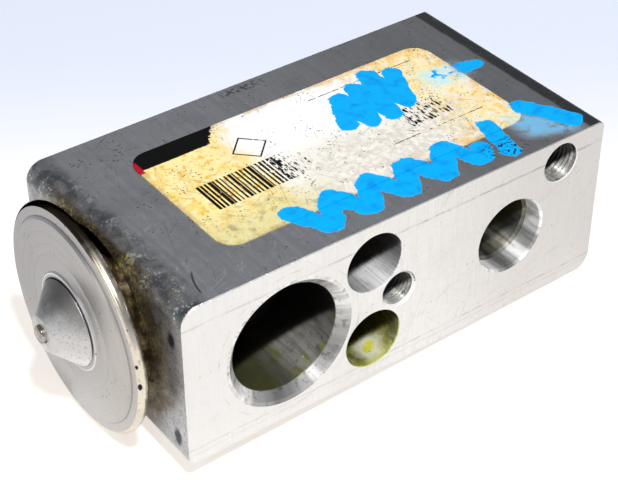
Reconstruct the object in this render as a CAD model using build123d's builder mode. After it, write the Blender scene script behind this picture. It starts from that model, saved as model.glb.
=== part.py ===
"""Block-type thermostatic expansion valve for a car's air conditioning.

Millimetres. X runs along the valve's axis, from the power head to the adjusting screw. Y runs from
the pipe side to the evaporator side. Z points up, out of the face that carries the label.
The origin is on the pipe side, in the middle between the two fixing holes.
"""

import os
from math import radians, sqrt, tan

from build123d import *

os.makedirs("parts", exist_ok=True)

# ---- Faces of the block, measured from the valve's axis ----
pipe_side_depth = 20.4
evaporator_side_depth = 18.0
corner_radius = 2.6
sharper_corner_radius = 1.1

# ---- Suction passage: vapour goes straight through, past the sensing rod ----
passage_radius = 7.2
spigot_radius = 8.15
spigot_depth = 13.0
spigot_chamfer = 1.1
spigot_rim = 0.6
spigot_rim_depth = 0.15

# ---- Fixing holes for two sunk M5 screws, and the tapped holes ----
fixing_spacing = 12.84
fixing_head_radius = 4.48
fixing_head_depth = 12.0
fixing_hole_radius = 2.75
port_wall = 1.31
centre_tap_radius = 2.5
centre_tap_chamfer = 0.39
centre_tap_wall = 0.72
tap_depth = 12.0
corner_tap_radius = 3.0
corner_tap_chamfer = 0.1
corner_tap_chamfer_angle = 90.0
corner_tap_edge = 3.95
corner_tap_from_end = 7.86

# ---- Liquid ports ----
inlet_mouth_chamfer = 0.3
inlet_seal_radius = 5.62
inlet_seal_depth = 3.0
inlet_radius = 5.2
inlet_passage_radius = 3.0
inlet_floor_wall = 2.4
inlet_beyond_seat = 1.5
outlet_radius = 6.6
outlet_chamfer = 0.6
outlet_passage_radius = 3.4
outlet_floor_wall = 1.5
drill_point_angle = 118.0

# ---- Power head ----
rim_radius = 16.35
rim_land = 1.95
rim_rounding = 0.55
cover_sheet = 0.75
diaphragm_sheet = 0.12
dish_depth = 2.55
crown_land = 1.7
crown_rise = 0.4
charge_gap = 0.38
neck_radius = 9.95
neck_bore = 7.6
neck_socket_depth = 7.5
neck_floor_gap = 0.2
socket_floor = 1.3
socket_opening = 7.0
seal_section = 1.5
seal_side_gap = 0.15
seal_depth = 1.55
flange_foot = 0.8
side_wall = 1.15

# ---- Charging cone in the upper cover ----
cone_base_radius = 6.15
cone_tip_radius = 2.55
cone_height = 4.2
cone_wall = 0.8
cone_foot = 0.5
collar_height = 0.3
collar_width = 0.65
charge_pin_radius = 1.3
charge_pin_length = 1.8
charge_pin_out = 0.55

# ---- Stopper and sensing rod ----
stopper_radius = 11.5
stopper_sheet = 1.3
stopper_boss_radius = 4.6
stopper_boss_length = 5.0
stopper_vents = 4
stopper_vent_radius = 1.1
sensing_radius = 2.9
sensing_end_gap = 0.6
rod_radius = 2.25
guide_length = 13.2
pin_radius = 0.9
pin_grip = 2.5

# ---- Gland of the rod's O-ring ----
rod_seal_section = 1.3
retainer_sheet = 0.3
retainer_teeth = 8
retainer_slot = 0.7
retainer_slot_depth = 0.6
retainer_lip = 0.25
retainer_setback = 0.5

# ---- Metering: orifice, ball, holder and spring ----
valve_lift = 0.8
orifice_radius = 1.6
orifice_length = 1.15
ball_radius = 2.38
ball_pocket_radius = 3.6
pocket_step = 0.7
chamber_radius = 5.5
holder_radius = 4.7
holder_sheet = 1.75
holder_spigot_radius = 2.6
holder_spigot_length = 2.8
holder_gap = 0.2
damper_sheet = 0.25
damper_fingers = 6
damper_finger_length = 3.2
damper_slot = 1.5
wire_radius = 0.55
spring_mean_radius = 3.95
spring_turns = 5
spring_length = 9.35

# ---- Adjusting screw, M12 x 1 ----
screw_radius = 5.93
screw_bore_radius = 6.0
screw_pitch = 1.0
screw_turns_each_way = 1.0
screw_thread_length = 3.1
screw_chamfer = 0.4
screw_cup_radius = 4.75
screw_cup_depth = 2.2
screw_groove_root = 3.95
screw_groove_wall = 0.6
screw_groove_width = 1.7
screw_groove_land = 2.6
screw_seal_section = 1.5
screw_recess = 1.25
socket_across_flats = 6.0
socket_sides = 6
socket_depth = 3.4
bore_mouth_chamfer = 0.5

# ---- Label on the upper face ----
label_length = 50.8
label_width = 24.5
label_sheet = 0.12
label_corner = 3.0
label_from_head_end = 11.3
label_from_pipe_side = 6.8

# ---- Clearances ----
turning_gap = 0.03
seated_gap = 0.02
ball_gap = 0.05


def row_offset(first_radius, second_radius, wall, sideways):
    """Distance along X between two round features that leave a wall between them."""
    return sqrt((first_radius + second_radius + wall) ** 2 - sideways**2)


def drill_point(radius):
    """Length of the cone that a drill leaves at the bottom of its hole."""
    return radius / tan(radians(drill_point_angle / 2))


# ---- Places along X, counted from the head end, then moved so that the fixing holes are at 0 ----
suction_from_end = neck_socket_depth + socket_floor + passage_radius
spigot_mouth_radius = spigot_radius + spigot_chamfer
fixing_from_suction = row_offset(spigot_mouth_radius, fixing_head_radius, port_wall, fixing_spacing / 2)
head_end = -(suction_from_end + fixing_from_suction)
suction_x = head_end + suction_from_end
centre_tap_x = row_offset(fixing_head_radius, centre_tap_radius, centre_tap_wall, fixing_spacing / 2)

gland_mouth = suction_x + passage_radius
retainer_x = gland_mouth + retainer_setback
rod_seal_x = retainer_x + retainer_sheet + turning_gap + rod_seal_section / 2
gland_floor = rod_seal_x + rod_seal_section / 2 + turning_gap
gland_radius = rod_radius + rod_seal_section + 2 * turning_gap
outlet_x = gland_floor + guide_length + outlet_passage_radius

orifice_x = outlet_x + outlet_passage_radius
seat_x = orifice_x + orifice_length
seat_cone_tip = seat_x - orifice_radius
pocket_x = seat_cone_tip + ball_pocket_radius
chamber_x = pocket_x + pocket_step
inlet_x = chamber_x + inlet_beyond_seat + inlet_passage_radius
ball_x = seat_cone_tip + ball_radius * sqrt(2) + ball_gap
holder_x = chamber_x + holder_gap
spring_start = holder_x + holder_sheet + damper_sheet
spring_end = spring_start + spring_length

screw_start = spring_end - screw_cup_depth
groove_start = spring_end + screw_groove_wall
groove_end = groove_start + screw_groove_width
screw_travel = screw_pitch * screw_turns_each_way
seal_bore_end = groove_end + screw_travel + screw_chamfer
screw_thread_start = groove_end + screw_groove_land
screw_end = screw_thread_start + screw_thread_length
far_end = screw_end + screw_recess

# ---- Sizes of the block that follow ----
seal_seat_radius = neck_radius + seal_section + seal_side_gap
block_height = 2 * (seal_seat_radius + side_wall)
block_depth = pipe_side_depth + evaporator_side_depth
block_length = far_end - head_end
top_z = block_height / 2

# ---- Places of the power head's sheets, outward from the head end ----
rim_back = head_end - dish_depth
diaphragm_back = rim_back - cover_sheet
diaphragm_front = diaphragm_back - diaphragm_sheet
rim_front = diaphragm_front - cover_sheet
crown_front = rim_front - crown_rise
crown_back = diaphragm_front - charge_gap
cone_tip_x = crown_front - cone_height
crown_radius = rim_radius - crown_land

valve_axis = Axis((0, pipe_side_depth, 0), (1, 0, 0))
valve_plane = Plane.XZ.offset(-pipe_side_depth)
pipe_face = Plane.XZ
evaporator_face = Plane(origin=(0, block_depth, 0), x_dir=(1, 0, 0), z_dir=(0, 1, 0))
label_face = Plane.XY.offset(top_z)


def turned(points, mode=Mode.ADD):
    """Adds or cuts a form turned about the valve's axis: each point is (place along X, radius)."""
    with BuildSketch(valve_plane) as section:
        with BuildLine():
            Polyline(*points, close=True)
        make_face()
    revolve(section.sketch, axis=valve_axis, mode=mode)


def bored(face_y, inward, centre_x, steps):
    """Cuts a stepped bore along Y: each step is (depth from the face, radius), from the mouth down."""
    points = [(centre_x, face_y - inward), (centre_x + steps[0][1], face_y - inward)]
    points += [(centre_x + radius, face_y + inward * depth) for depth, radius in steps]
    last_depth, last_radius = steps[-1]
    if last_radius > 0:
        points.append((centre_x, face_y + inward * last_depth))
    with BuildSketch(Plane.XY) as section:
        with BuildLine():
            Polyline(*points, close=True)
        make_face()
    revolve(section.sketch, axis=Axis((centre_x, 0, 0), (0, 1, 0)), mode=Mode.SUBTRACT)


def spigot_port(face_y, inward):
    """The stepped mouth that takes a suction pipe's spigot."""
    steps = [
        (0, spigot_mouth_radius + spigot_rim),
        (spigot_rim_depth, spigot_mouth_radius),
        (spigot_rim_depth + spigot_chamfer, spigot_radius),
        (spigot_depth, spigot_radius),
        (spigot_depth, passage_radius),
    ]
    bored(face_y, inward, suction_x, steps)


def ring(place, mean_radius, section_radius):
    """Adds an O-ring about the valve's axis."""
    with BuildSketch(valve_plane) as section:
        with Locations((place, mean_radius)):
            Circle(section_radius)
    revolve(section.sketch, axis=valve_axis)


# ================= Block =================
with BuildPart() as valve_block:
    with BuildSketch(pipe_face) as extruded_bar:
        with Locations(((head_end + far_end) / 2, 0)):
            Rectangle(block_length, block_height)
        # The bar is drawn with two rounder edges and two sharper ones, each pair diagonally opposite.
        head_corners = extruded_bar.vertices().group_by(Axis.X)[0].sort_by(Axis.Y)
        far_corners = extruded_bar.vertices().group_by(Axis.X)[-1].sort_by(Axis.Y)
        fillet([head_corners[-1], far_corners[0]], corner_radius)
        head_corners = extruded_bar.vertices().group_by(Axis.X)[0].sort_by(Axis.Y)
        far_corners = extruded_bar.vertices().group_by(Axis.X)[-1].sort_by(Axis.Y)
        fillet([head_corners[0], far_corners[-1]], sharper_corner_radius)
    extrude(amount=-block_depth)

    # Socket for the power head, open to the suction passage behind it.
    turned(
        [
            (head_end, 0),
            (head_end, seal_seat_radius),
            (head_end + seal_depth, seal_seat_radius),
            (head_end + seal_depth, neck_radius + turning_gap),
            (head_end + neck_socket_depth, neck_radius + turning_gap),
            (head_end + neck_socket_depth, socket_opening),
            (suction_x, socket_opening),
            (suction_x, 0),
        ],
        mode=Mode.SUBTRACT,
    )

    # Suction passage, with a spigot bore in each face.
    with Locations(pipe_face):
        with Locations((suction_x, 0)):
            Hole(passage_radius)
    spigot_port(0, 1)
    spigot_port(block_depth, -1)

    # Gland and guide of the sensing rod, then the orifice, the ball's pocket and the spring chamber.
    turned(
        [
            (suction_x, 0),
            (suction_x, gland_radius),
            (gland_floor, gland_radius),
            (gland_floor, rod_radius + turning_gap),
            (outlet_x, rod_radius + turning_gap),
            (outlet_x, orifice_radius),
            (seat_x, orifice_radius),
            (pocket_x, ball_pocket_radius),
            (chamber_x, ball_pocket_radius),
            (chamber_x, chamber_radius),
            (seal_bore_end, chamber_radius),
            (seal_bore_end, screw_bore_radius),
            (far_end - bore_mouth_chamfer, screw_bore_radius),
            (far_end, screw_bore_radius + bore_mouth_chamfer),
            (far_end, 0),
        ],
        mode=Mode.SUBTRACT,
    )

    # Liquid inlet from the pipe side, down to the spring chamber.
    inlet_depth = pipe_side_depth - chamber_radius - inlet_floor_wall
    inlet_point = inlet_depth + drill_point(inlet_radius) - drill_point(inlet_passage_radius)
    inlet_steps = [
        (0, inlet_seal_radius + inlet_mouth_chamfer),
        (inlet_mouth_chamfer, inlet_seal_radius),
        (inlet_seal_depth, inlet_seal_radius),
        (inlet_seal_depth + inlet_seal_radius - inlet_radius, inlet_radius),
        (inlet_depth, inlet_radius),
        (inlet_point, inlet_passage_radius),
        (pipe_side_depth, inlet_passage_radius),
    ]
    bored(0, 1, inlet_x, inlet_steps)

    # Outlet to the evaporator, from the chamber round the push pin.
    outlet_depth = evaporator_side_depth - chamber_radius - outlet_floor_wall
    outlet_point = outlet_depth + drill_point(outlet_radius) - drill_point(outlet_passage_radius)
    outlet_steps = [
        (0, outlet_radius + outlet_chamfer),
        (outlet_chamfer, outlet_radius),
        (outlet_depth, outlet_radius),
        (outlet_point, outlet_passage_radius),
        (evaporator_side_depth, outlet_passage_radius),
        (evaporator_side_depth + drill_point(outlet_passage_radius), 0),
    ]
    bored(block_depth, -1, outlet_x, outlet_steps)

    # Fixing holes, bored out for the screw heads.
    with Locations(pipe_face):
        with GridLocations(0, fixing_spacing, 1, 2):
            CounterBoreHole(fixing_hole_radius, fixing_head_radius, fixing_head_depth)

    # Tapped holes, at the thread's full diameter.
    centre_tap_steps = [
        (0, centre_tap_radius + centre_tap_chamfer),
        (centre_tap_chamfer, centre_tap_radius),
        (tap_depth, centre_tap_radius),
        (tap_depth + drill_point(centre_tap_radius), 0),
    ]
    bored(0, 1, centre_tap_x, centre_tap_steps)
    corner_tap_z = top_z - corner_tap_edge
    with Locations(pipe_face):
        with Locations((far_end - corner_tap_from_end, corner_tap_z)):
            CounterSinkHole(
                corner_tap_radius,
                corner_tap_radius + corner_tap_chamfer,
                depth=tap_depth,
                counter_sink_angle=corner_tap_chamfer_angle,
            )
valve_block.part.label = "valve_block"

# ================= Power head =================
dish_floor_radius = seal_seat_radius + flange_foot
dish_rim_radius = rim_radius - rim_land
wall_lean = dish_rim_radius - dish_floor_radius
lean_length = sqrt(dish_depth**2 + wall_lean**2)
inner_shift = cover_sheet * (lean_length - wall_lean) / dish_depth
neck_end = head_end + neck_socket_depth - neck_floor_gap

with BuildPart() as head_lower_cover:
    turned(
        [
            (diaphragm_back, rim_radius),
            (rim_back, rim_radius),
            (rim_back, dish_rim_radius),
            (head_end, dish_floor_radius),
            (head_end, neck_radius),
            (neck_end - screw_chamfer, neck_radius),
            (neck_end, neck_radius - screw_chamfer),
            (neck_end, neck_bore),
            (head_end - cover_sheet, neck_bore),
            (head_end - cover_sheet, dish_floor_radius - inner_shift),
            (diaphragm_back, dish_rim_radius - inner_shift),
        ]
    )
    rim_edges = head_lower_cover.edges().filter_by(GeomType.CIRCLE).sort_by(SortBy.RADIUS)[-2:]
    fillet(rim_edges.sort_by(Axis.X)[-1], rim_rounding)
head_lower_cover.part.label = "head_lower_cover"

with BuildPart() as head_upper_cover:
    turned(
        [
            (diaphragm_front, rim_radius),
            (rim_front, rim_radius),
            (rim_front, crown_radius),
            (crown_front, crown_radius - crown_rise),
            (crown_front, cone_base_radius + seated_gap + collar_width + collar_height),
            (crown_front - collar_height, cone_base_radius + seated_gap + collar_width),
            (crown_front - collar_height, cone_base_radius + seated_gap),
            (crown_back, cone_base_radius + seated_gap),
            (crown_back, crown_radius - cover_sheet),
            (diaphragm_front, crown_radius - cover_sheet + charge_gap),
        ]
    )
    rim_edges = head_upper_cover.edges().filter_by(GeomType.CIRCLE).sort_by(SortBy.RADIUS)[-2:]
    fillet(rim_edges.sort_by(Axis.X)[0], rim_rounding)
    collar_edges = head_upper_cover.edges().filter_by(GeomType.CIRCLE).group_by(Axis.X)[0]
    fillet(collar_edges, collar_height / 2)
head_upper_cover.part.label = "head_upper_cover"

charge_hole_radius = charge_pin_radius + seated_gap

with BuildPart() as charge_cone:
    turned(
        [
            (crown_back, cone_base_radius),
            (crown_front - cone_foot, cone_base_radius),
            (cone_tip_x, cone_tip_radius),
            (cone_tip_x, charge_hole_radius),
            (cone_tip_x + cone_wall, charge_hole_radius),
            (crown_front - cone_foot + cone_wall, cone_base_radius - cone_wall),
            (crown_back, cone_base_radius - cone_wall),
        ]
    )
    tip_edges = charge_cone.edges().filter_by(GeomType.CIRCLE).group_by(Axis.X)[0]
    fillet(tip_edges.sort_by(SortBy.RADIUS)[-1], cone_wall / 4)
charge_cone.part.label = "charge_cone"

with BuildPart() as charge_pin:
    pin_front = cone_tip_x - charge_pin_out
    turned(
        [
            (pin_front, 0),
            (pin_front, charge_pin_radius),
            (pin_front + charge_pin_length, charge_pin_radius),
            (pin_front + charge_pin_length, 0),
        ]
    )
    fillet(charge_pin.edges().filter_by(GeomType.CIRCLE).sort_by(Axis.X)[0], charge_pin_out / 2)
charge_pin.part.label = "charge_pin"

with BuildPart() as diaphragm:
    turned(
        [
            (diaphragm_front, 0),
            (diaphragm_front, rim_radius - rim_rounding),
            (diaphragm_back, rim_radius - rim_rounding),
            (diaphragm_back, 0),
        ]
    )
diaphragm.part.label = "diaphragm"

with BuildPart() as head_seal_ring:
    ring(head_end + seal_depth - seal_section / 2, neck_radius + seal_section / 2 + turning_gap, seal_section / 2)
head_seal_ring.part.label = "head_seal_ring"

# ================= Parts that lift the ball =================
stopper_front = diaphragm_back + seated_gap
stopper_back = stopper_front + stopper_sheet
boss_end = stopper_back + stopper_boss_length
rod_start = stopper_back

with BuildPart() as diaphragm_stopper:
    turned(
        [
            (stopper_front, 0),
            (stopper_front, stopper_radius),
            (stopper_back, stopper_radius),
            (stopper_back, stopper_boss_radius),
            (boss_end, stopper_boss_radius),
            (boss_end, sensing_radius + seated_gap),
            (rod_start, sensing_radius + seated_gap),
            (rod_start, 0),
        ]
    )
    rim_circles = diaphragm_stopper.edges().filter_by(GeomType.CIRCLE).sort_by(SortBy.RADIUS)[-2:]
    fillet(rim_circles, stopper_sheet / 4)
    with Locations(Plane.YZ.offset(stopper_front)):
        with Locations((pipe_side_depth, 0)):
            with PolarLocations((stopper_boss_radius + neck_bore) / 2, stopper_vents):
                Hole(stopper_vent_radius)
diaphragm_stopper.part.label = "diaphragm_stopper"

sensing_end = retainer_x - valve_lift - sensing_end_gap
rod_end = outlet_x - outlet_passage_radius / 2
pin_start = rod_end - pin_grip
ball_front = ball_x - ball_radius

with BuildPart() as sensing_rod:
    turned(
        [
            (rod_start + seated_gap, 0),
            (rod_start + seated_gap, sensing_radius),
            (sensing_end, sensing_radius),
            (sensing_end, rod_radius),
            (rod_end, rod_radius),
            (rod_end, pin_radius + seated_gap),
            (pin_start, pin_radius + seated_gap),
            (pin_start, 0),
        ]
    )
    end_circles = sensing_rod.edges().filter_by(GeomType.CIRCLE).group_by(SortBy.RADIUS)[-1]
    chamfer(end_circles, screw_chamfer)
sensing_rod.part.label = "sensing_rod"

with BuildPart() as push_pin:
    turned(
        [
            (pin_start + seated_gap, 0),
            (pin_start + seated_gap, pin_radius),
            (ball_front - seated_gap, pin_radius),
            (ball_front - seated_gap, 0),
        ]
    )
    fillet(push_pin.edges().filter_by(GeomType.CIRCLE).sort_by(Axis.X)[-1], pin_radius / 3)
push_pin.part.label = "push_pin"

with BuildPart() as rod_o_ring:
    ring(rod_seal_x, rod_radius + rod_seal_section / 2 + turning_gap, rod_seal_section / 2)
rod_o_ring.part.label = "rod_o_ring"

with BuildPart() as o_ring_retainer:
    with BuildSketch(Plane.YZ.offset(retainer_x)) as retainer_outline:
        with Locations((pipe_side_depth, 0)):
            Circle(gland_radius - seated_gap)
            Circle(rod_radius + retainer_lip, mode=Mode.SUBTRACT)
            with PolarLocations(gland_radius, retainer_teeth):
                Rectangle(2 * retainer_slot_depth, retainer_slot, mode=Mode.SUBTRACT)
    extrude(amount=retainer_sheet)
o_ring_retainer.part.label = "o_ring_retainer"

with BuildPart() as valve_ball:
    with Locations((ball_x, pipe_side_depth, 0)):
        Sphere(ball_radius)
valve_ball.part.label = "valve_ball"

# The ball sits in a 90 degree cone in the holder's front.
holder_cone_tip = ball_x + ball_radius * sqrt(2) + seated_gap
holder_back = holder_x + holder_sheet
holder_end = holder_back + holder_spigot_length

with BuildPart() as ball_holder:
    turned(
        [
            (holder_x, holder_cone_tip - holder_x),
            (holder_x, holder_radius),
            (holder_back, holder_radius),
            (holder_back, holder_spigot_radius),
            (holder_end, holder_spigot_radius),
            (holder_end, 0),
            (holder_cone_tip, 0),
        ]
    )
    chamfer(ball_holder.edges().filter_by(GeomType.CIRCLE).sort_by(Axis.X)[-1], screw_chamfer)
ball_holder.part.label = "ball_holder"

# A thin ring under the spring, whose fingers rub on the chamber's wall.
finger_end = holder_back + damper_finger_length
finger_root_radius = spring_mean_radius + wire_radius + damper_sheet
finger_tip_radius = chamber_radius - turning_gap

with BuildPart() as damper_ring:
    turned(
        [
            (holder_back, holder_spigot_radius + seated_gap),
            (holder_back, finger_root_radius + damper_sheet),
            (finger_end, finger_tip_radius),
            (finger_end, finger_tip_radius - damper_sheet),
            (spring_start, finger_root_radius),
            (spring_start, holder_spigot_radius + seated_gap),
        ]
    )
    with BuildSketch(Plane.YZ.offset(spring_start)):
        with Locations((pipe_side_depth, 0)):
            with PolarLocations(chamber_radius, damper_fingers):
                Rectangle(chamber_radius - wire_radius, damper_slot)
    extrude(amount=damper_finger_length, mode=Mode.SUBTRACT)
damper_ring.part.label = "damper_ring"

coil_length = spring_length - 2 * wire_radius - 2 * seated_gap
coil_pitch = coil_length / spring_turns
coil_start = (spring_start + wire_radius + seated_gap, pipe_side_depth, 0)

with BuildPart() as superheat_spring:
    with BuildLine():
        coil = Helix(coil_pitch, coil_length, spring_mean_radius, center=coil_start, direction=(1, 0, 0))
    with BuildSketch(Plane(origin=coil @ 0, z_dir=coil % 0)):
        Circle(wire_radius)
    sweep(is_frenet=True)
superheat_spring.part.label = "superheat_spring"

# ================= Adjusting screw =================
with BuildPart() as adjusting_screw:
    nose_radius = chamber_radius - turning_gap
    turned(
        [
            (spring_end, 0),
            (spring_end, screw_cup_radius),
            (screw_start, screw_cup_radius),
            (screw_start, nose_radius - screw_chamfer / 2),
            (screw_start + screw_chamfer / 2, nose_radius),
            (groove_start, nose_radius),
            (groove_start, screw_groove_root),
            (groove_end, screw_groove_root),
            (groove_end, nose_radius),
            (screw_thread_start, nose_radius),
            (screw_thread_start, screw_radius - screw_chamfer),
            (screw_thread_start + screw_chamfer, screw_radius),
            (screw_end - screw_chamfer, screw_radius),
            (screw_end, screw_radius - screw_chamfer),
            (screw_end, 0),
        ]
    )
    with BuildSketch(Plane.YZ.offset(screw_end)):
        with Locations((pipe_side_depth, 0)):
            RegularPolygon(socket_across_flats / 2, socket_sides, major_radius=False)
    extrude(amount=-socket_depth, mode=Mode.SUBTRACT)
adjusting_screw.part.label = "adjusting_screw"

with BuildPart() as adjuster_o_ring:
    ring(
        (groove_start + groove_end) / 2,
        screw_groove_root + screw_seal_section / 2 + seated_gap,
        screw_seal_section / 2,
    )
adjuster_o_ring.part.label = "adjuster_o_ring"

# ================= Label =================
with BuildPart() as label:
    with BuildSketch(label_face):
        label_x = head_end + label_from_head_end + label_length / 2
        with Locations((label_x, label_from_pipe_side + label_width / 2)):
            RectangleRounded(label_length, label_width, label_corner)
    extrude(amount=label_sheet)
label.part.label = "label"

sub_parts = [
    valve_block,
    head_lower_cover,
    head_upper_cover,
    charge_cone,
    charge_pin,
    diaphragm,
    head_seal_ring,
    diaphragm_stopper,
    sensing_rod,
    push_pin,
    rod_o_ring,
    o_ring_retainer,
    valve_ball,
    ball_holder,
    damper_ring,
    superheat_spring,
    adjusting_screw,
    adjuster_o_ring,
    label,
]
for sub_part in sub_parts:
    export_step(sub_part.part, f"parts/{sub_part.part.label}.step")

print("block", round(block_length, 3), round(block_depth, 3), round(block_height, 3))
print("along X:", {"head end": round(head_end, 3), "suction": round(suction_x, 3), "far end": round(far_end, 3)})
print("outlet", round(outlet_x, 3), "inlet", round(inlet_x, 3), "centre tap", round(centre_tap_x, 3))
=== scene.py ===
"""Looks of a block-type thermostatic expansion valve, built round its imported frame.

The scene is in metres, in the frame of the solids. Sizes and places are written in millimetres.
"""
from math import cos, hypot, pi, radians, sin, tan

import bmesh
import bpy
from mathutils import Matrix, Vector


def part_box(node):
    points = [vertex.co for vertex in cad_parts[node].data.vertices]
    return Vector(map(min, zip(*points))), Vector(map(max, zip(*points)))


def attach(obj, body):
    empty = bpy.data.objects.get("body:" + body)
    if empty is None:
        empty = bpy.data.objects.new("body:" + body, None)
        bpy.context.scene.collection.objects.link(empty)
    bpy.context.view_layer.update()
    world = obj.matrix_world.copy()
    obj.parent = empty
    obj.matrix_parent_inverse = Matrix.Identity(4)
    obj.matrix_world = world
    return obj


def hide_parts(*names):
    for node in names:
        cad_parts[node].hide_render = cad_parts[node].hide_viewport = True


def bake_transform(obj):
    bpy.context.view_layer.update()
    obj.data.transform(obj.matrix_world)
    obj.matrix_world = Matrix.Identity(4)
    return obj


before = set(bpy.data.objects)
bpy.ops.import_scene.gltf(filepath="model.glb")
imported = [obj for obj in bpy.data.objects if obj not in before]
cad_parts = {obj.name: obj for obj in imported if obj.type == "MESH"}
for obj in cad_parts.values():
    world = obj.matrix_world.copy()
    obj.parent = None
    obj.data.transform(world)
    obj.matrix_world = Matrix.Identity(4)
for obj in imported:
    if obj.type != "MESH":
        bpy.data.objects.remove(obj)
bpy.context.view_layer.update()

MM = 0.001

# ---- Sizes shared with the solids, in millimetres ----
HEAD_END, FAR_END = -29.6, 40.41
DEPTH, HALF_HEIGHT = 38.4, 12.75
CORNER, SHARPER_CORNER = 2.6, 1.1
AXIS_Y = 20.4
SUCTION_X, INLET_X, OUTLET_X = -13.6, 24.11, 12.36
CENTRE_TAP_X, CORNER_TAP_X, CORNER_TAP_Z = 4.25, 32.55, 8.8
FIXING_Z = 6.42
RIM_RADIUS = 16.35
CENTRE_TAP_RADIUS, CORNER_TAP_RADIUS, TAP_DEPTH, TAP_TAIL = 2.5, 3.0, 12.0, 1.5
CENTRE_TAP_MOUTH, CORNER_TAP_MOUTH = 2.9, 3.12
SPIGOT_RADIUS, SPIGOT_DEPTH, SUCTION_RADIUS = 8.15, 13.0, 7.2
INLET_MOUTH_RADIUS, INLET_RADIUS, INLET_PASSAGE_RADIUS = 5.62, 5.2, 3.0
OUTLET_RADIUS, OUTLET_PASSAGE_RADIUS = 6.6, 3.4
SCREW_HEAD_RADIUS, SCREW_HEAD_DEPTH, SCREW_RADIUS = 4.48, 12.0, 2.75
HEAD_SEAT_RADIUS, HEAD_BORE_RADIUS, ROD_SEAL_RADIUS, ROD_RADIUS = 9.98, 7.0, 3.61, 2.28
SPRING_BORE_RADIUS, ADJUSTER_RADIUS = 5.5, 6.0
LABEL_X, LABEL_Y, LABEL_HALF_LENGTH, LABEL_HALF_WIDTH = 7.1, 19.05, 25.4, 12.25
FACE_PLANE, LIP_PLANE, CONE_FOOT = -34.17, -34.47, -34.67


# ================= Shader graphs =================
class Value:
    """A socket of a tree, with arithmetic and the masks and noises that are read from it."""

    def __init__(self, graph, socket):
        self.graph, self.socket = graph, socket

    def __add__(self, other):
        return self.graph.math("ADD", self, other)

    def __radd__(self, other):
        return self.graph.math("ADD", other, self)

    def __sub__(self, other):
        return self.graph.math("SUBTRACT", self, other)

    def __rsub__(self, other):
        return self.graph.math("SUBTRACT", other, self)

    def __mul__(self, other):
        return self.graph.math("MULTIPLY", self, other)

    def __rmul__(self, other):
        return self.graph.math("MULTIPLY", other, self)

    def __truediv__(self, other):
        return self.graph.math("DIVIDE", self, other)

    def __abs__(self):
        return self.graph.math("ABSOLUTE", self)

    def at_least(self, other):
        return self.graph.math("MAXIMUM", self, other)

    def at_most(self, other):
        return self.graph.math("MINIMUM", self, other)

    def equals(self, other):
        return self.graph.math("COMPARE", self, other, 0.1)

    def step(self, low, high):
        """0 below low, 1 above high, smooth between them. With low above high it runs down."""
        node = self.graph.add("ShaderNodeMapRange", interpolation_type="SMOOTHSTEP")
        values = {"Value": self, "From Min": min(low, high), "From Max": max(low, high)}
        if low > high:
            values.update({"To Min": 1.0, "To Max": 0.0})
        return self.graph.fill(node, values)

    def near(self, centre, half_width, blur):
        """1 on a line at a value, fading out over the blur."""
        return abs(self - centre).step(half_width + blur, half_width)

    def between(self, low, high, blur=0.05):
        return self.step(low - blur, low + blur) * self.step(high + blur, high - blur)

    def scaled(self, low, high):
        """Stretches 0 to 1 over low to high."""
        return self.graph.math("MULTIPLY_ADD", self, high - low, low)

    def stretched(self, *factors):
        return self.graph.vector("MULTIPLY", self, factors)

    def shifted(self, *distances):
        return self.graph.vector("ADD", self, distances)

    def noise(self, scale=1.0, detail=3.0, roughness=0.55, distortion=0.0):
        values = {"Vector": self, "Scale": scale, "Detail": detail, "Roughness": roughness}
        values["Distortion"] = distortion
        return self.graph.fill(self.graph.add("ShaderNodeTexNoise"), values)

    def patches(self, low, high, *noise):
        """Noise cut to patches between two of its levels."""
        return self.noise(*noise).step(low, high)

    def sway(self, reach, *noise):
        """Noise that swings about zero."""
        return (self.noise(*noise) - 0.5) * reach

    def bump(self, distance, strength):
        values = {"Height": self, "Distance": distance, "Strength": strength}
        return self.graph.fill(self.graph.add("ShaderNodeBump"), values)

    def cover(self, colour, share, *shares):
        """Lays a colour over this one, as far as all the shares allow."""
        for other in shares:
            share = share * other
        self.socket = self.graph.mix(share, self, colour).socket


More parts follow.
